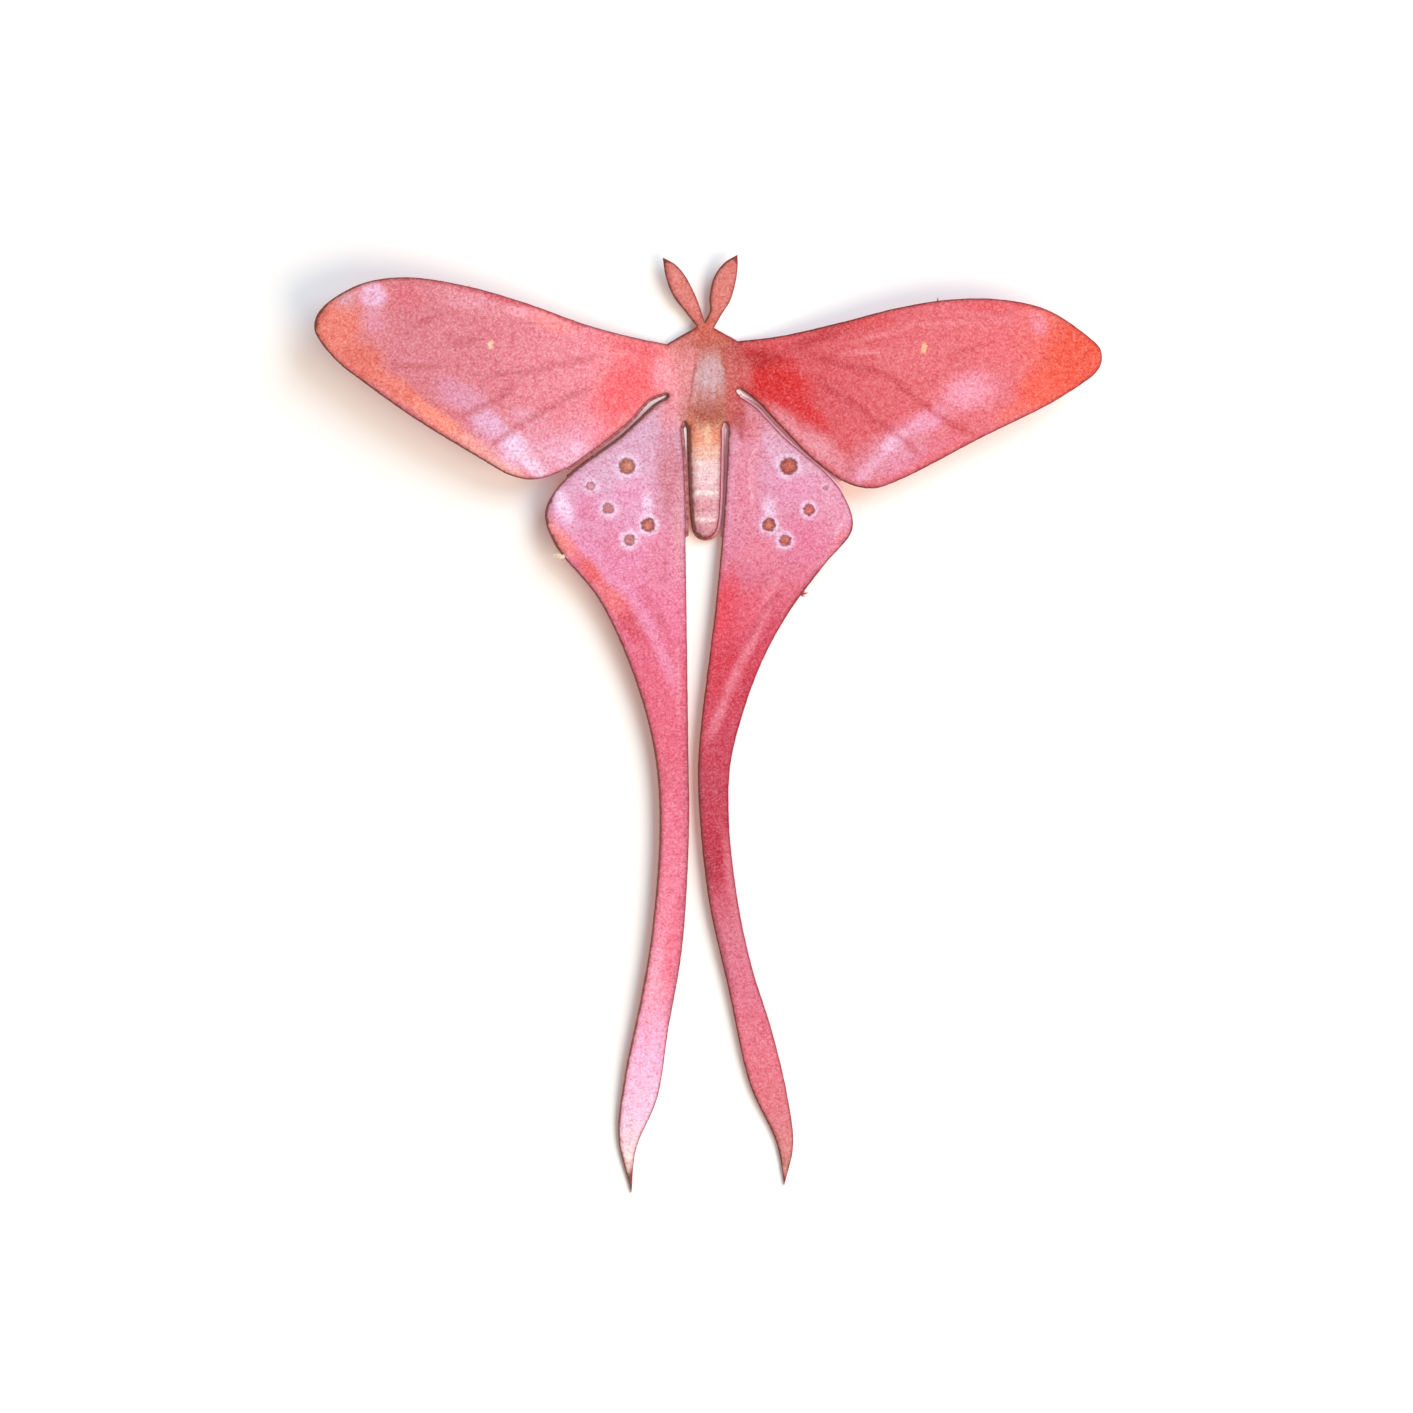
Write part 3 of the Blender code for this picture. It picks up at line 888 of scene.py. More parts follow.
# Washes as (centre, size, turn in degrees, softness, strength, ink), in millimetres
FOREWING_WASHES = {
    LEFT: [
        # On this side the lilac clouds are print made paler and stronger by a painted sheen
        ((-22, 2), (12, 7), 10, 1, 0.3, (236, 142, 158)),
        ((-45.5, 5), (7.5, 6), 20, 1, 0.6, (220, 126, 144)),
        ((-47.6, 13.2), (3.4, 2.4), -5, 0.9, 0.7, (224, 106, 122)),
        ((-11.5, -0.6), (7, 4.3), 38, 0.75, 0.85, (238, 70, 82)),
        ((-14.2, -3.4), (4.2, 2.2), 48, 0.7, 0.6, (250, 78, 88)),
        ((-17.6, -7.4), (4.6, 1.8), 42, 0.9, 0.5, (240, 104, 124)),
        ((-10.5, 5.2), (6, 1.3), -10, 0.8, 0.7, (220, 74, 88)),
        ((-24.2, 9.4), (4.2, 1.7), -20, 0.9, 0.8, (254, 144, 148)),
        ((-29.6, 10.8), (2, 0.9), -20, 0.8, 0.75, (248, 168, 184)),
        ((-6.6, 1), (1.9, 3.2), 0, 0.9, 0.6, (242, 156, 174)),
        ((-52.7, 13.3), (2.3, 2.1), -14, 0.7, 0.95, (240, 190, 226)),
        ((-52.6, 9.4), (2.2, 2.6), 10, 0.9, 0.55, (230, 158, 190)),
        ((-58.6, 8), (3.6, 5.8), 0, 0.55, 0.85, (236, 120, 104)),
        ((-54.2, 2.6), (3.8, 3), -34, 0.6, 0.85, (228, 106, 88)),
        ((-49, -1.6), (5.4, 1.9), -34, 0.7, 0.8, (238, 120, 98)),
        ((-42.6, -6.2), (5.4, 1.6), -33, 0.7, 0.85, (250, 142, 118)),
        ((-36.4, -10.8), (5.2, 1.4), -33, 0.7, 0.8, (250, 158, 136)),
        ((-31.2, -14.6), (3.4, 1), -28, 0.7, 0.8, (250, 168, 150)),
        ((-38.8, -2.6), (4.6, 2.3), -24, 0.8, 0.6, (222, 156, 192)),
        ((-34.4, -7), (3.4, 2), -32, 0.85, 0.8, (230, 178, 218)),
        ((-30.2, -10.4), (2.7, 2), -42, 0.8, 0.9, (242, 214, 248)),
        ((-27.2, -13.8), (2.8, 1.3), -36, 0.8, 0.9, (250, 216, 242)),
        ((-21.6, -10), (5.6, 2.8), 38, 1, 0.7, (230, 154, 184)),
        ((-28, -11.4), (9.6, 3.8), -10, 0.9, 0.36, (236, 190, 226)),
        ((-20.6, -11.6), (2.8, 2), 40, 0.9, 0.4, (244, 200, 230)),
        ((-30.6, -12.8), (2.2, 1.4), -30, 0.9, 0.45, (248, 210, 244)),
        ((-28.2, -6), (3.4, 1.6), -20, 0.9, 0.35, (234, 184, 216)),
        ((-57.4, 12.8), (2, 1.8), 0, 0.9, 0.5, (212, 178, 200)),
        ((-38, 12.4), (6, 1.7), -13, 1, 0.32, (250, 186, 206)),
        ((-34.2, 5.5), (0.5, 0.75), -15, 0.5, 0.85, (254, 202, 172)),
    ],
    RIGHT: [
        ((32, 3.4), (6, 3), 8, 1, 0.2, (238, 134, 146)),
        ((47.5, 5.5), (7, 4.5), -10, 1, 0.45, (232, 92, 92)),
        ((11.5, -0.4), (7, 4.3), -34, 0.65, 0.95, (220, 12, 18)),
        ((16.6, -5.4), (4, 1.9), -42, 0.65, 0.85, (220, 24, 34)),
        ((8.6, 3.4), (4.4, 1.8), 0, 0.9, 0.8, (184, 14, 20)),
        ((6.4, 1.6), (1.4, 2.6), 10, 0.9, 0.5, (232, 128, 128)),
        ((13.6, -7.2), (4.6, 1.1), -44, 0.8, 0.7, (238, 150, 162)),
        ((18.8, -10.8), (4.6, 2), -44, 0.9, 0.7, (236, 160, 176)),
        ((18.5, 6.7), (6, 1), 20, 0.8, 0.8, (194, 40, 50)),
        ((26.5, 9.3), (5, 1), 14, 0.9, 0.6, (216, 56, 60)),
        ((46, 11.6), (6, 1), 0, 0.9, 0.6, (222, 66, 70)),
        ((42, -2.2), (4.6, 3), 15, 0.9, 0.8, (240, 156, 182)),
        ((35.4, -6.8), (3.8, 1.8), 28, 0.7, 0.75, (238, 154, 186)),
        ((30, -10.6), (3.2, 1.5), 38, 0.85, 0.85, (248, 184, 214)),
        ((26, -14.4), (2.8, 1.3), 46, 0.7, 0.75, (240, 160, 188)),
        ((32, -13.2), (4.4, 1.7), 28, 0.9, 0.7, (228, 126, 156)),
        ((38.6, -10.2), (3.4, 1), 26, 0.9, 0.5, (226, 110, 136)),
        ((59.6, 3.2), (5.6, 6.2), -10, 0.5, 0.95, (228, 72, 44)),
        ((53.6, -1.6), (4.6, 3.2), 28, 0.65, 0.85, (236, 80, 56)),
        ((48.6, -5.4), (3.4, 1.4), 28, 0.9, 0.6, (238, 100, 84)),
        ((53.4, 9), (1.6, 2.1), 15, 0.6, 0.8, (232, 128, 146)),
        ((29, -12.2), (9.6, 3.4), 30, 0.9, 0.36, (226, 174, 206)),
        ((35.1, 5.1), (0.42, 0.95), -8, 0.5, 0.85, (250, 190, 140)),
    ],
}
HINDWING_WASHES = {
    LEFT: [
        ((-10.2, -8.6), (4, 2.4), 42, 0.8, 0.75, (212, 158, 188)),
        ((-14.6, -14), (5, 2.8), 42, 0.9, 0.6, (216, 166, 196)),
        ((-5.6, -5.6), (1.5, 3.4), -8, 0.9, 0.7, (222, 108, 128)),
        ((-5.6, -16), (2.6, 9), 0, 0.9, 0.85, (198, 108, 124)),
        ((-11.6, -18.4), (3.4, 2.4), 10, 0.9, 0.6, (230, 136, 180)),
        ((-18.6, -20.4), (3, 3.4), 30, 0.9, 0.7, (224, 122, 162)),
        ((-15, -26.6), (3.6, 3.6), 45, 1, 0.55, (222, 120, 156)),
        ((-6.6, -29), (3.4, 6), 0, 1, 0.6, (218, 112, 140)),
        ((-4.2, -24), (0.9, 8), 0, 0.9, 0.55, (222, 152, 158)),
        ((-22.9, -20), (1.4, 3.6), 28, 0.85, 0.95, (250, 212, 246)),
        ((-24.7, -23.8), (1.2, 2.3), 8, 0.8, 0.85, (252, 156, 158)),
        ((-22.4, -26.2), (1.5, 3.2), 38, 0.8, 0.9, (250, 132, 128)),
        ((-18.2, -30.6), (1.6, 3.8), 42, 0.75, 0.95, (228, 86, 90)),
        ((-14.4, -35.4), (1.8, 4), 38, 0.6, 0.95, (232, 106, 114)),
        ((-11.4, -39.6), (1.8, 3.8), 36, 0.7, 0.9, (208, 60, 88)),
        ((-9.2, -35.4), (1.4, 2.4), 30, 0.9, 0.6, (210, 76, 114)),
        ((-7, -38.8), (0.8, 2.4), 10, 0.9, 0.6, (198, 66, 100)),
        ((-7, -63), (2.6, 3), 0, 1, 0.5, (208, 74, 104)),
        ((-5, -91), (1.3, 9), -8, 0.8, 0.6, (232, 92, 124)),
        ((-8.6, -96), (1.4, 6), -8, 0.8, 0.5, (252, 170, 196)),
        ((-9.2, -20), (1, 2), 0, 0.85, 0.85, (238, 204, 236)),
    ],
    RIGHT: [
        ((11.4, -11.4), (1.7, 3.6), 18, 0.8, 0.6, (232, 180, 206)),
        ((7.4, -7.6), (1.9, 2.4), 0, 0.9, 0.75, (222, 112, 122)),
        ((15, -12.6), (4.8, 2), -44, 0.9, 0.7, (220, 164, 188)),
        ((5.8, -5.2), (1.2, 3.6), 4, 0.8, 0.8, (196, 76, 82)),
        ((5.9, -9), (0.6, 0.9), 0, 0.8, 0.8, (180, 62, 76)),
        ((6.6, -17), (2.4, 9), 0, 1, 0.6, (236, 124, 146)),
        ((14.4, -17.4), (3.4, 2), 0, 1, 0.55, (232, 140, 180)),
        ((16, -25.4), (3.6, 3.6), 30, 1, 0.6, (228, 108, 148)),
        ((20.4, -19.4), (2.2, 3), 20, 1, 0.5, (230, 154, 180)),
        ((22, -26), (1.6, 2.8), -35, 0.8, 0.6, (234, 124, 134)),
        ((8.4, -27.6), (4, 3), 0, 1, 0.5, (238, 128, 148)),
        ((3.4, -36.8), (2.4, 6.4), -8, 0.8, 0.85, (232, 62, 84)),
        ((6.8, -37.4), (2, 4.6), -24, 0.9, 0.5, (238, 90, 112)),
        ((3, -46), (2.2, 5), -14, 0.9, 0.7, (216, 50, 74)),
        ((2.4, -66), (3.6, 4), 0, 1, 0.5, (196, 60, 84)),
        ((1.4, -76), (1.5, 5), 8, 0.9, 0.6, (184, 26, 58)),
        ((4.4, -80), (1.1, 8), 9, 0.8, 0.6, (234, 130, 150)),
        ((9, -114), (1.4, 4.6), 14, 1, 0.4, (216, 92, 110)),
        ((10.4, -20.8), (1.1, 2.2), 8, 0.85, 0.85, (244, 204, 232)),
        ((11.4, -24), (1.3, 1), -30, 0.7, 0.7, (242, 196, 226)),
    ],
}
BODY_WASHES = [
    ((-2.4, 1), (1.6, 6), 0, 0.9, 0.75, (238, 150, 160)),
    ((4.6, 1.4), (1.3, 4), 0, 0.9, 0.6, (222, 116, 112)),
    ((0.6, -5.2), (3.4, 1.7), 0, 0.9, 0.9, (170, 70, 48)),
    ((0.6, -1), (2.6, 3.6), 0, 0.8, 0.6, (200, 136, 140)),
    ((-2.4, -7.4), (1.3, 1.6), 10, 0.8, 0.7, (214, 118, 84)),
    ((-1.6, -9.4), (1.4, 2), 0, 0.9, 0.8, (238, 154, 122)),
    ((2, -9), (1.1, 1.7), 0, 0.9, 0.7, (236, 140, 108)),
    ((0.4, -8.6), (0.7, 1.9), 0, 0.9, 0.75, (254, 200, 168)),
    ((0, -11.6), (2.8, 1.3), 0, 1, 0.7, (246, 196, 178)),
    ((0, -13.3), (2.9, 0.55), 0, 0.7, 0.6, (252, 220, 222)),
    ((0, -15.4), (2.9, 1.3), 0, 0.9, 0.7, (250, 214, 222)),
    ((0, -17.9), (2.9, 0.36), 0, 0.6, 0.95, (255, 236, 234)),
    ((0, -19.8), (2.9, 1.1), 0, 0.8, 0.8, (224, 146, 158)),
    ((0, -20.9), (2.6, 0.3), 0, 0.8, 0.6, (200, 118, 134)),
    ((0, -22.3), (2.5, 0.34), 0, 0.7, 0.9, (255, 224, 228)),
    ((0, -24), (2.2, 1), 0, 0.9, 0.8, (208, 136, 150)),
]

# Brush strokes as (points, half width, strength, ink): the veins, the dark lines across the wings, the
# streaks that run down the hindwings, and painted shade along the tails' inner edges
DARK_ROSE = (186, 62, 78)
DARK_RED = (190, 34, 48)
FOREWING_STROKES = {
    LEFT: [
        ([(-38.4, -5.8), (-33.4, -3.4), (-30.4, -1)], 0.75, 0.55, DARK_ROSE),
        ([(-35, 0.4), (-29.4, 1.2), (-23.5, 2.2), (-17.5, 3.9)], 0.75, 0.45, DARK_ROSE),
        ([(-34, -10.4), (-29, -7.2), (-24.4, -4.2), (-18.5, -1.4)], 0.75, 0.55, DARK_ROSE),
        ([(-41, 5), (-36, 6.4)], 0.7, 0.45, DARK_ROSE),
        ([(-47.5, 7.6), (-42, 10)], 0.7, 0.45, DARK_ROSE),
        ([(-50, 2.2), (-42, 2)], 0.7, 0.35, DARK_ROSE),
        ([(-37.5, 14.1), (-28.5, 11.9), (-18, 8.3)], 0.4, 0.6, (214, 60, 78)),
    ],
    RIGHT: [
        (
            [(16, 4.2), (22.5, 2.4), (29.5, 0.4), (34, -3.2), (38.2, -6.6), (43, -9)],
            0.7, 0.55, DARK_RED,
        ),
        ([(18, 0.2), (22.4, -3), (26.6, -5.8), (30.6, -9.2), (34.4, -12)], 0.7, 0.55, DARK_RED),
        ([(38, 3.6), (46, 6)], 0.5, 0.35, DARK_RED),
        ([(24, 6), (34, 8.6), (44, 9.2)], 0.5, 0.3, (246, 150, 158)),
        ([(22, 4.4), (29, 4)], 0.5, 0.35, (246, 150, 158)),
    ],
}
HINDWING_STROKES = {
    LEFT: [
        (
            [(-19.6, -25.2), (-15.8, -30.6), (-11.4, -35.2), (-7.2, -42.4), (-5, -49)],
            1.2, 0.6, (230, 144, 186),
        ),
        ([(-4.4, -43), (-4, -54)], 0.5, 0.6, (242, 140, 168)),
        ([(-6.4, -28), (-6.2, -33)], 0.35, 0.4, (190, 80, 110)),
        # painted shade along the left tail's inner edge
        ([(-2.6, -52), (-2.5, -74), (-3.7, -91), (-5.8, -104)], 0.8, 0.5, (184, 60, 96)),
    ],
    RIGHT: [
        (
            [(11.6, -32), (8.6, -38.8), (6, -45.6), (3.6, -50.4), (0.9, -57)],
            1, 0.65, (242, 138, 156),
        ),
        ([(12.2, -33.6), (9, -37), (6.6, -42.4)], 0.55, 0.65, (196, 44, 74)),
        ([(11.6, -37.4), (8.4, -43.6), (5.6, -52)], 0.55, 0.6, (196, 44, 70)),
        ([(23, -21.4), (20.6, -25.2)], 0.45, 0.8, (246, 176, 200)),
        ([(8.6, -9), (7.4, -14), (7.8, -21)], 0.4, 0.45, (248, 176, 190)),
        # painted shade along the right tail's inner edge
        ([(-0.7, -60), (-0.5, -72), (1.2, -84), (4.4, -98)], 0.8, 0.5, (150, 40, 66)),
    ],
}
BODY_STROKES = [
    ([(-0.5, 3.9), (-1.2, -1.6)], 0.6, 0.8, (206, 172, 178)),
    ([(0.5, 4), (0.1, -1.8)], 0.75, 0.8, (214, 182, 192)),
    ([(1.4, 4), (1.5, -1.8)], 0.75, 0.8, (214, 178, 188)),
    ([(2.2, 3.9), (2.8, -1.6)], 0.6, 0.8, (202, 164, 170)),
    ([(5.6, -5.4), (5.9, -9.4)], 0.5, 0.5, (178, 60, 66)),
    ([(-1.4, 4.2), (-2.5, -4.6)], 0.26, 0.65, (166, 76, 66)),
    ([(3, 4.4), (4, -3.6)], 0.26, 0.55, (170, 74, 68)),
    ([(-3, 5.5), (0.8, 5.9), (4.4, 5.2)], 0.6, 0.6, (186, 84, 66)),
]

# Eyespots as (centre, radius, halo's reach, halo's strength, strength, core, rim)
EYESPOTS = {
    LEFT: [
        ((-12.4, -13.8), 1.4, 1.9, 0.7, 1, (198, 118, 88), (140, 68, 64)),
        ((-18.2, -17), 0.8, 2.3, 0.6, 0.8, (206, 136, 146), (160, 82, 96)),
        ((-15.4, -20.6), 1, 2.1, 0.75, 0.9, (192, 116, 124), (164, 84, 94)),
        ((-9, -23.2), 1.2, 1.85, 0.85, 1, (198, 98, 76), (134, 58, 60)),
        ((-12, -25.6), 1, 2.2, 0.85, 0.9, (192, 112, 116), (154, 78, 88)),
    ],
    RIGHT: [
        ((13.5, -13.8), 1.5, 1.8, 0.65, 1, (196, 92, 74), (142, 58, 58)),
        ((19.4, -17.3), 0.5, 1.8, 0.3, 0.6, (184, 96, 108), (164, 80, 94)),
        ((16.7, -20.8), 1, 1.9, 0.8, 1, (202, 96, 88), (160, 60, 70)),
        ((10.3, -23.2), 1.15, 1.7, 0.8, 1, (204, 104, 84), (144, 58, 60)),
        ((12.9, -25.7), 1, 2, 0.85, 1, (200, 104, 92), (160, 68, 74)),
    ],
}


# How far a wash's soft edge reaches in and out, and how strokes overlap and soften
EDGE_IN = 0.9
EDGE_OUT = 0.55
STROKE_OVERLAP = 0.6
STROKE_SOFTNESS = 0.9


def stroke_washes(strokes):
    """Each brush stroke as a chain of long ovals, one for each stretch of it."""
    washes = []
    for points, half_width, strength, stroke_ink in strokes:
        for start, end in zip(points, points[1:]):
            along = Vector(end) - Vector(start)
            centre = (Vector(start) + Vector(end)) / 2.0
            turn = math.degrees(math.atan2(along.y, along.x))
            size = (STROKE_OVERLAP * along.length, half_width)
            washes.append((centre, size, turn, STROKE_SOFTNESS, strength, stroke_ink))
    return washes


def paint_washes(tree, colour, place, washes):
    for centre, size, turn, softness, strength, wash_ink in washes:
        settings = {
            "Under": colour,
            "Place": place,
            "Centre": (*centre, 0.0),
            "Size": (*size, 1.0),
            "Turn": (0.0, 0.0, math.radians(turn)),
            "Inner": 1.0 - EDGE_IN * softness,
            "Outer": 1.0 + EDGE_OUT * softness,
            "Strength": strength,
            "Ink": ink(*wash_ink),
        }
        colour = use_group(tree, WASH, settings)["Colour"]
    return colour


def paint_eyespots(tree, colour, place, eyespots):
    for centre, radius, halo, halo_strength, strength, core, rim in eyespots:
        settings = {
            "Under": colour,
            "Place": place,
            "Centre": (*centre, 0.0),
            "Radius": radius,
            "Halo": halo,
            "Halo Strength": halo_strength,
            "Strength": strength,
            "Halo Ink": LILAC_WHITE,
            "Core Ink": ink(*core),
            "Rim Ink": ink(*rim),
        }
        colour = use_group(tree, EYESPOT, settings)["Colour"]
    return colour


def millimetre_place(tree):
    """The place on the flat drawing, in millimetres, without its height."""
    place = node(tree, "ShaderNodeTexCoord").outputs["Object"]
    return vector_maths(tree, "MULTIPLY", place, (1.0 / MM, 1.0 / MM, 0.0))


def wandered(tree, place, scale, reach):
    """The place shifted a little to and fro, as ink spreads in card."""
    settings = {"Vector": place, "Scale": scale, "Detail": 3.0}
    wander = node(tree, "ShaderNodeTexNoise", settings).outputs["Color"]
    centred = vector_maths(tree, "SUBTRACT", wander, (0.5, 0.5, 0.5))
    return vector_maths(tree, "ADD", place, vector_maths(tree, "MULTIPLY", centred, (reach, reach, 0.0)))


def ink_run(tree, value, stops):
    """A colour ramp with stops given in millimetres."""
    first = stops[0][0]
    last = stops[-1][0]
    share = maths(tree, "DIVIDE", maths(tree, "SUBTRACT", value, first), last - first)
    return ramp(tree, share, [((place - first) / (last - first), ink(*colour)) for place, colour in stops])


def across_and_back(tree, place):
    """How far right and how far towards the tails a place lies."""
    parts = node(tree, "ShaderNodeSeparateXYZ", {0: place}).outputs
    return parts["X"], maths(tree, "MULTIPLY", parts["Y"], -1.0)


def card_attribute(tree, name):
    return node(tree, "ShaderNodeAttribute", attribute_name=name).outputs["Fac"]


def new_material(name):
    material = bpy.data.materials.new(name)
    material.use_nodes = True
    tree = material.node_tree
    return material, tree, tree.nodes["Principled BSDF"]


def scorched_line(tree, colour, place, strength):
    """The scorched line drawn over a colour, brown on the cuts that face left, where it is partly scorch
    and partly painted shade.
    """
    scorch = use_group(tree, SCORCH, {"From Cut": card_attribute(tree, "from_cut"), "Place": place})
    brown = ranged(tree, card_attribute(tree, "brown"), *BROWN_CUTS)
    line = mixed(tree, brown, CRIMSON_SCORCH, BROWN_SCORCH)
    soot = maths(tree, "MULTIPLY", scorch["Soot"], SOOT_SHARE * strength)
    colour = mixed(tree, soot, colour, SOOT, "MULTIPLY")
    return mixed(tree, maths(tree, "MULTIPLY", scorch["Scorch"], strength), colour, line)


def grained(tree, colour, grain):
    """A printed colour with the card's dark hollows and pale fibres showing in it."""
    hollows = ranged(tree, grain["Tone"], *HOLLOW_TONES, 1.0, 0.0)
    colour = mixed(tree, hollows, colour, DARK_GRAIN, "MULTIPLY")
    colour = mixed(tree, ranged(tree, grain["Tone"], *PALE_TONES, 0.0, PALE_SHARE), colour, PALE_FIBRE)
    colour = mixed(tree, grain["Fleck"], colour, LIGHT_GRAIN, "MULTIPLY")
    return mixed(tree, maths(tree, "MULTIPLY", grain["Fleck"], FLECK_SHARE), colour, PALE_FIBRE)


def finish_surface(tree, surface, colour, uneven, roughness):
    """Join a colour, and a roughness that follows how uneven the material is."""
    tree.links.new(colour, surface.inputs["Base Color"])
    tree.links.new(ranged(tree, uneven, *UNEVENNESS, *roughness), surface.inputs["Roughness"])


def raise_relief(tree, surface, height, relief):
    bump = node(tree, "ShaderNodeBump", {"Height": height, **relief})
    tree.links.new(bump.outputs[0], surface.inputs["Normal"])


def with_flanks(tree, colour, x, back, tone):
    """A print that blends into the body's flanks: a wing's, with its side's painted sheen, or the body's.
    """
    flanks = [ink_run(tree, back, FLANK_INKS_AND_LIGHT[side]) for side in (LEFT, RIGHT)]
    flank = mixed(tree, maths(tree, "GREATER_THAN", x, 0.0), *flanks)
    if tone:
        # painted sheen: the side's tone lightens the right wings
        colour = mixed(tree, 1.0, colour, tone, "MULTIPLY")
        return mixed(tree, card_attribute(tree, "body"), colour, flank)
    aside = ranged(tree, maths(tree, "ABSOLUTE", x), FLANK_START, BODY_REACH)
    behind_head = ranged(tree, back, -ANTENNA_LINE, HEAD_BLEND - ANTENNA_LINE)
    return mixed(tree, maths(tree, "MULTIPLY", aside, behind_head), colour, flank)


def printed_card(name, follows, inks, washes, eyespots=(), tone=None):
    """The top of one part of the card: its print on pearl card, scorched beside the cut; a wing's inks and
    tone also carry its side's painted light.
    """
    material, tree, surface = new_material(name)
    place = millimetre_place(tree)
    grain = use_group(tree, GRAIN, {"Place": place})
    ragged = wandered(tree, place, 2.0, 0.8)
    bled = wandered(tree, ragged, 0.16, 1.5)
    x, back = across_and_back(tree, bled)
    colour = ink_run(tree, maths(tree, "ABSOLUTE", x) if follows == "out" else back, inks)
    colour = paint_washes(tree, colour, bled, washes)
    colour = paint_eyespots(tree, colour, ragged, eyespots)
    colour = grained(tree, with_flanks(tree, colour, x, back, tone), grain)
    colour = scorched_line(tree, colour, place, 0.9)
    finish_surface(tree, surface, colour, grain["Tone"], PRINT_ROUGHNESS)
    surface.inputs["Specular IOR Level"].default_value = 0.35
    raise_relief(tree, surface, grain["Height"], CARD_RELIEF)
    return material


def bare_card():
    """The unprinted underside, plain dusty rose card with the same scorched line, and a painted glow that
    lights the floor beneath.
    """
    material, tree, surface = new_material("bare_rose_card")
    place = millimetre_place(tree)
    grain = use_group(tree, GRAIN, {"Place": place})
    colour = mixed(tree, grain["Tone"], ink(176, 70, 84), ink(200, 98, 108))
    colour = scorched_line(tree, colour, place, 0.85)
    finish_surface(tree, surface, colour, grain["Tone"], BARE_ROUGHNESS)
    # painted glow: the underside emits rose light, stronger under the tails, for light coming through the
    # card
    _, back = across_and_back(tree, place)
    tail = ranged(tree, back, TAIL_GLOW_START, TAIL_GLOW_FULL)
    light = mixed(tree, tail, WING_PAINTED_GLOW, TAIL_PAINTED_GLOW)
    tree.links.new(light, surface.inputs["Emission Color"])
    surface.inputs["Emission Strength"].default_value = 1.0
    raise_relief(tree, surface, grain["Height"], CARD_RELIEF)
    return material


def cut_wall():
    """The cut through the card, burnt brown with upright streaks, its mauve-brown also painted shade for
    the slots, and made lighter on the right as a painted highlight.
    """
    material, tree, surface = new_material("scorched_and_shaded_cut_wall")
    place = node(tree, "ShaderNodeTexCoord").outputs["Object"]
    streaks = speckle(tree, vector_maths(tree, "MULTIPLY", place, WALL_STREAKS), 2.2, 3.0, 0.6)
    # the walls' mauve-brown: partly scorch, partly painted shade for the slots
    colour = ramp(tree, streaks, WALL_SCORCH_AND_SHADE)
    out = node(tree, "ShaderNodeSeparateXYZ", {0: place}).outputs["X"]
    # painted highlight: walls to the right are mixed towards a pale colour, as if lit
    colour = mixed(tree, ranged(tree, out, 0.0, PAINTED_LIT_WALL_OUT, 0.0, 0.9), colour, PAINTED_LIT_WALL)
    finish_surface(tree, surface, colour, streaks, BURNT_ROUGHNESS)
    raise_relief(tree, surface, streaks, WALL_RELIEF)
    return material


def torn_card(name, dark, light):
    """Loose fibres of card, unevenly coloured."""
    material, tree, surface = new_material(name)
    tone = use_group(tree, GRAIN, {"Place": millimetre_place(tree)})["Tone"]
    colour = mixed(tree, ranged(tree, tone, 0.4, 0.6), dark, light)
    finish_surface(tree, surface, colour, tone, BURNT_ROUGHNESS)
    return material


def torn_tabs():
    """The tufts left where the cut moth was broken out of its sheet."""
    burnt = torn_card("burnt_card_fibres", ink(112, 44, 40), ink(176, 88, 82))
    pale = torn_card("pale_card_fibres", ink(240, 204, 176), ink(255, 244, 226))
    for tabs, material in ((BURNT_TABS, burnt), (PALE_TABS, pale)):
        for name, (place, fibres) in tabs.items():
            torn_tab(name, place, fibres, material)


def card_finishes():
    """The finish of each part of the card's surface."""
    body_washes = BODY_WASHES + stroke_washes(BODY_STROKES)
    finishes = {"body": printed_card("body_print", "back", BODY_INKS, body_washes)}
    for side, word in ((LEFT, "left"), (RIGHT, "right")):
        tone = WING_SHEEN_TONE[side]
        washes = FOREWING_WASHES[side] + stroke_washes(FOREWING_STROKES[side])
        finishes["forewing_" + word] = printed_card(
            f"forewing_print_{word}", "out", FOREWING_INKS_AND_LIGHT[side], washes, tone=tone
        )
        washes = HINDWING_WASHES[side] + stroke_washes(HINDWING_STROKES[side])
        finishes["hindwing_" + word] = printed_card(
            f"hindwing_print_{word}", "back", HINDWING_INKS_AND_LIGHT[side], washes, EYESPOTS[side], tone
        )
    finishes["underside"] = bare_card()
    finishes["cut_wall"] = cut_wall()
    return finishes


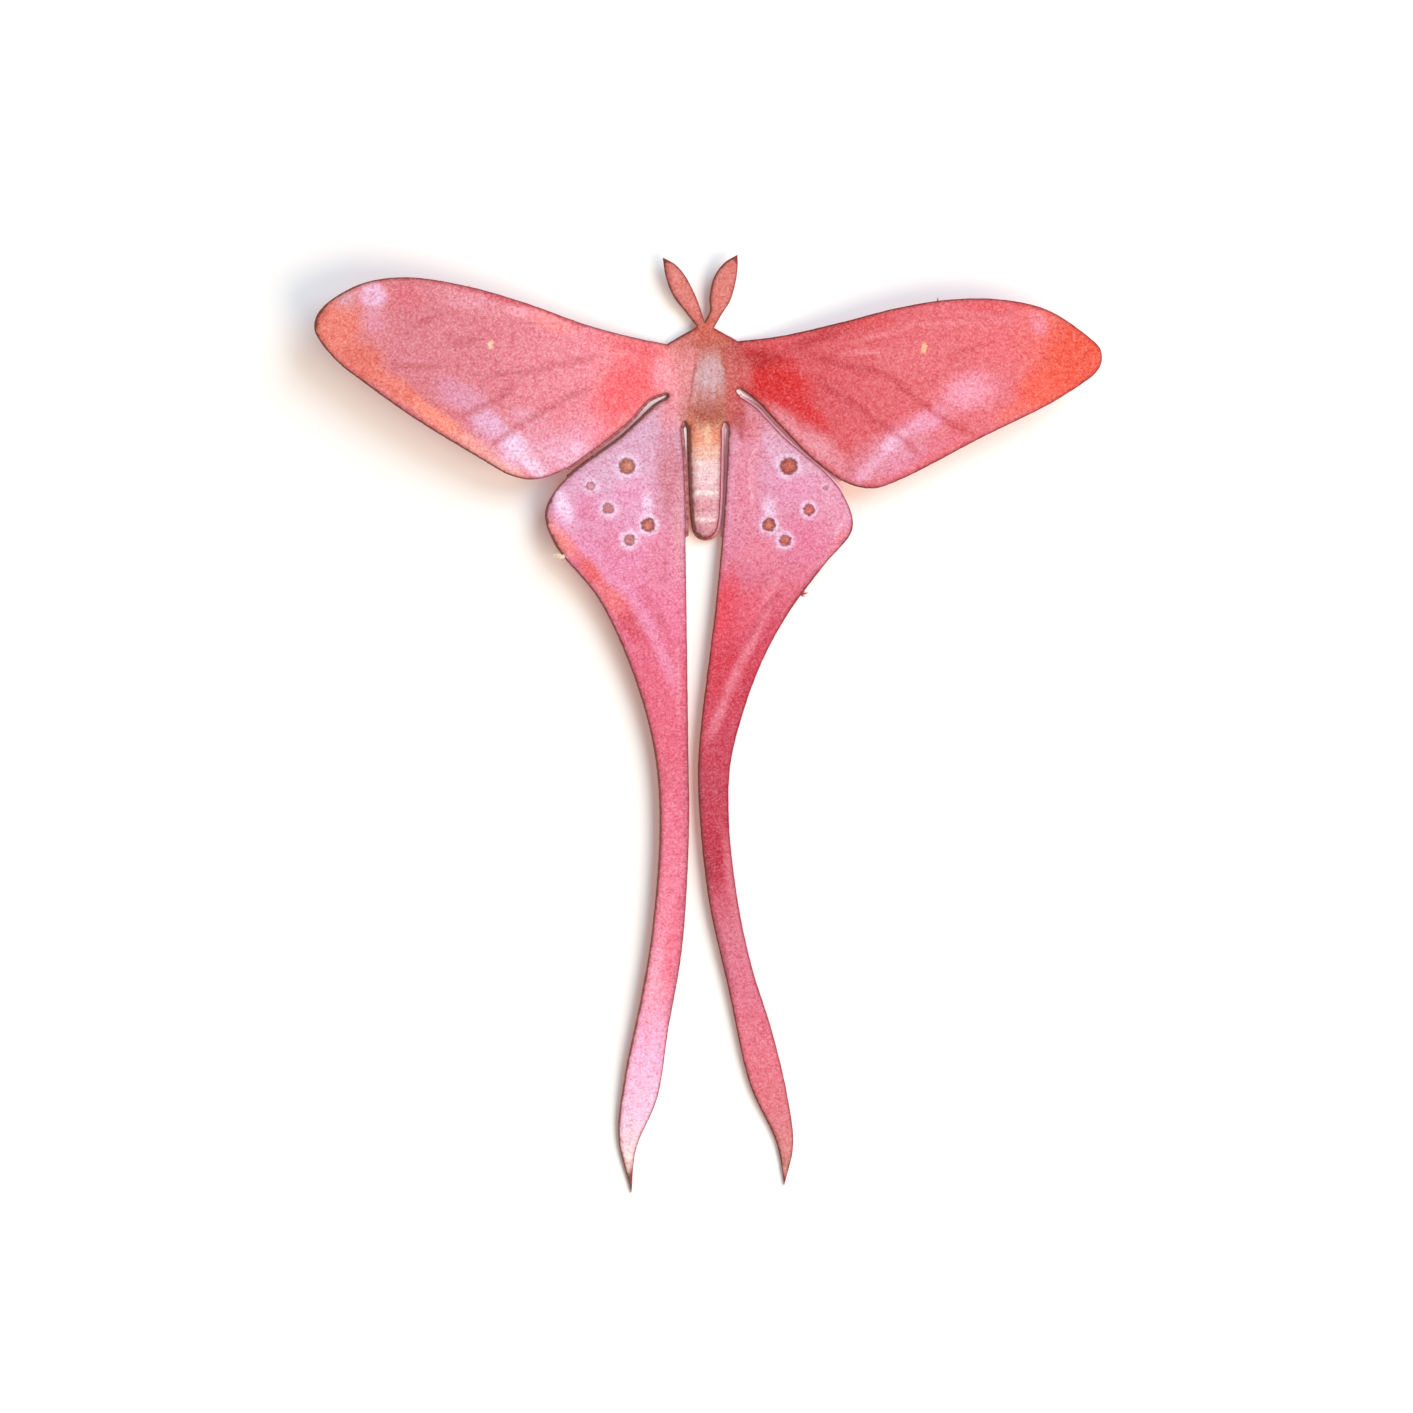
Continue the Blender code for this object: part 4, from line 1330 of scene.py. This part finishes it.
# The studio, with sizes and places in metres
FLOOR_SIZE = 6.0
LAMP_SIZE = 1.3
LAMP_POWER = 23.5
LAMP_AIM = Vector((0.0, -0.05, 0.0))
COOL_LIGHT = (0.74, 0.89, 1.0)
WARM_LIGHT = (1.0, 0.8, 0.6)
CAMERA_PLACE = (0.00032, -0.05224, 1.572)


def floor():
    """The plain white surface that the moth lies on."""
    bpy.ops.object.select_all(action="DESELECT")
    bpy.ops.mesh.primitive_plane_add(size=FLOOR_SIZE)
    plane = bpy.context.view_layer.objects.active
    plane.name = "floor"
    material, tree, surface = new_material("white_floor")
    surface.inputs["Base Color"].default_value = (0.88, 0.88, 0.88, 1.0)
    surface.inputs["Roughness"].default_value = 0.8
    plane.data.materials.append(material)


def soft_light(name, place, colour):
    """A large soft lamp that looks at the moth."""
    lamp = bpy.data.lights.new(name, "AREA")
    lamp.shape = "DISK"
    lamp.size = LAMP_SIZE
    lamp.energy = LAMP_POWER
    lamp.color = colour
    obj = bpy.data.objects.new(name, lamp)
    obj.location = place
    obj.rotation_euler = (LAMP_AIM - Vector(place)).to_track_quat("-Z", "Y").to_euler()
    bpy.context.scene.collection.objects.link(obj)


def studio():
    world = bpy.data.worlds.new("pale_studio")
    world.use_nodes = True
    sky = world.node_tree.nodes["Background"].inputs
    sky["Color"].default_value = (1.0, 0.98, 0.97, 1.0)
    sky["Strength"].default_value = 0.47
    bpy.context.scene.world = world
    soft_light("cool_lamp", (0.95, 0.75, 1.07), COOL_LIGHT)
    soft_light("warm_lamp", (1.0, -0.7, 1.07), WARM_LIGHT)


def camera():
    """A long lens straight above, framed as wide as the photograph."""
    lens = bpy.data.cameras.new("above")
    lens.lens = 250.0
    lens.sensor_width = 36.0
    lens.clip_end = 20.0
    obj = bpy.data.objects.new("above", lens)
    obj.location = CAMERA_PLACE
    bpy.context.scene.collection.objects.link(obj)
    bpy.context.scene.camera = obj


def build_looks():
    card = card_sheet()
    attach(card, "root")
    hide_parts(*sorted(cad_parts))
    torn_tabs()
    floor()
    studio()
    camera()
    bpy.context.scene.view_settings.view_transform = "Standard"


build_looks()
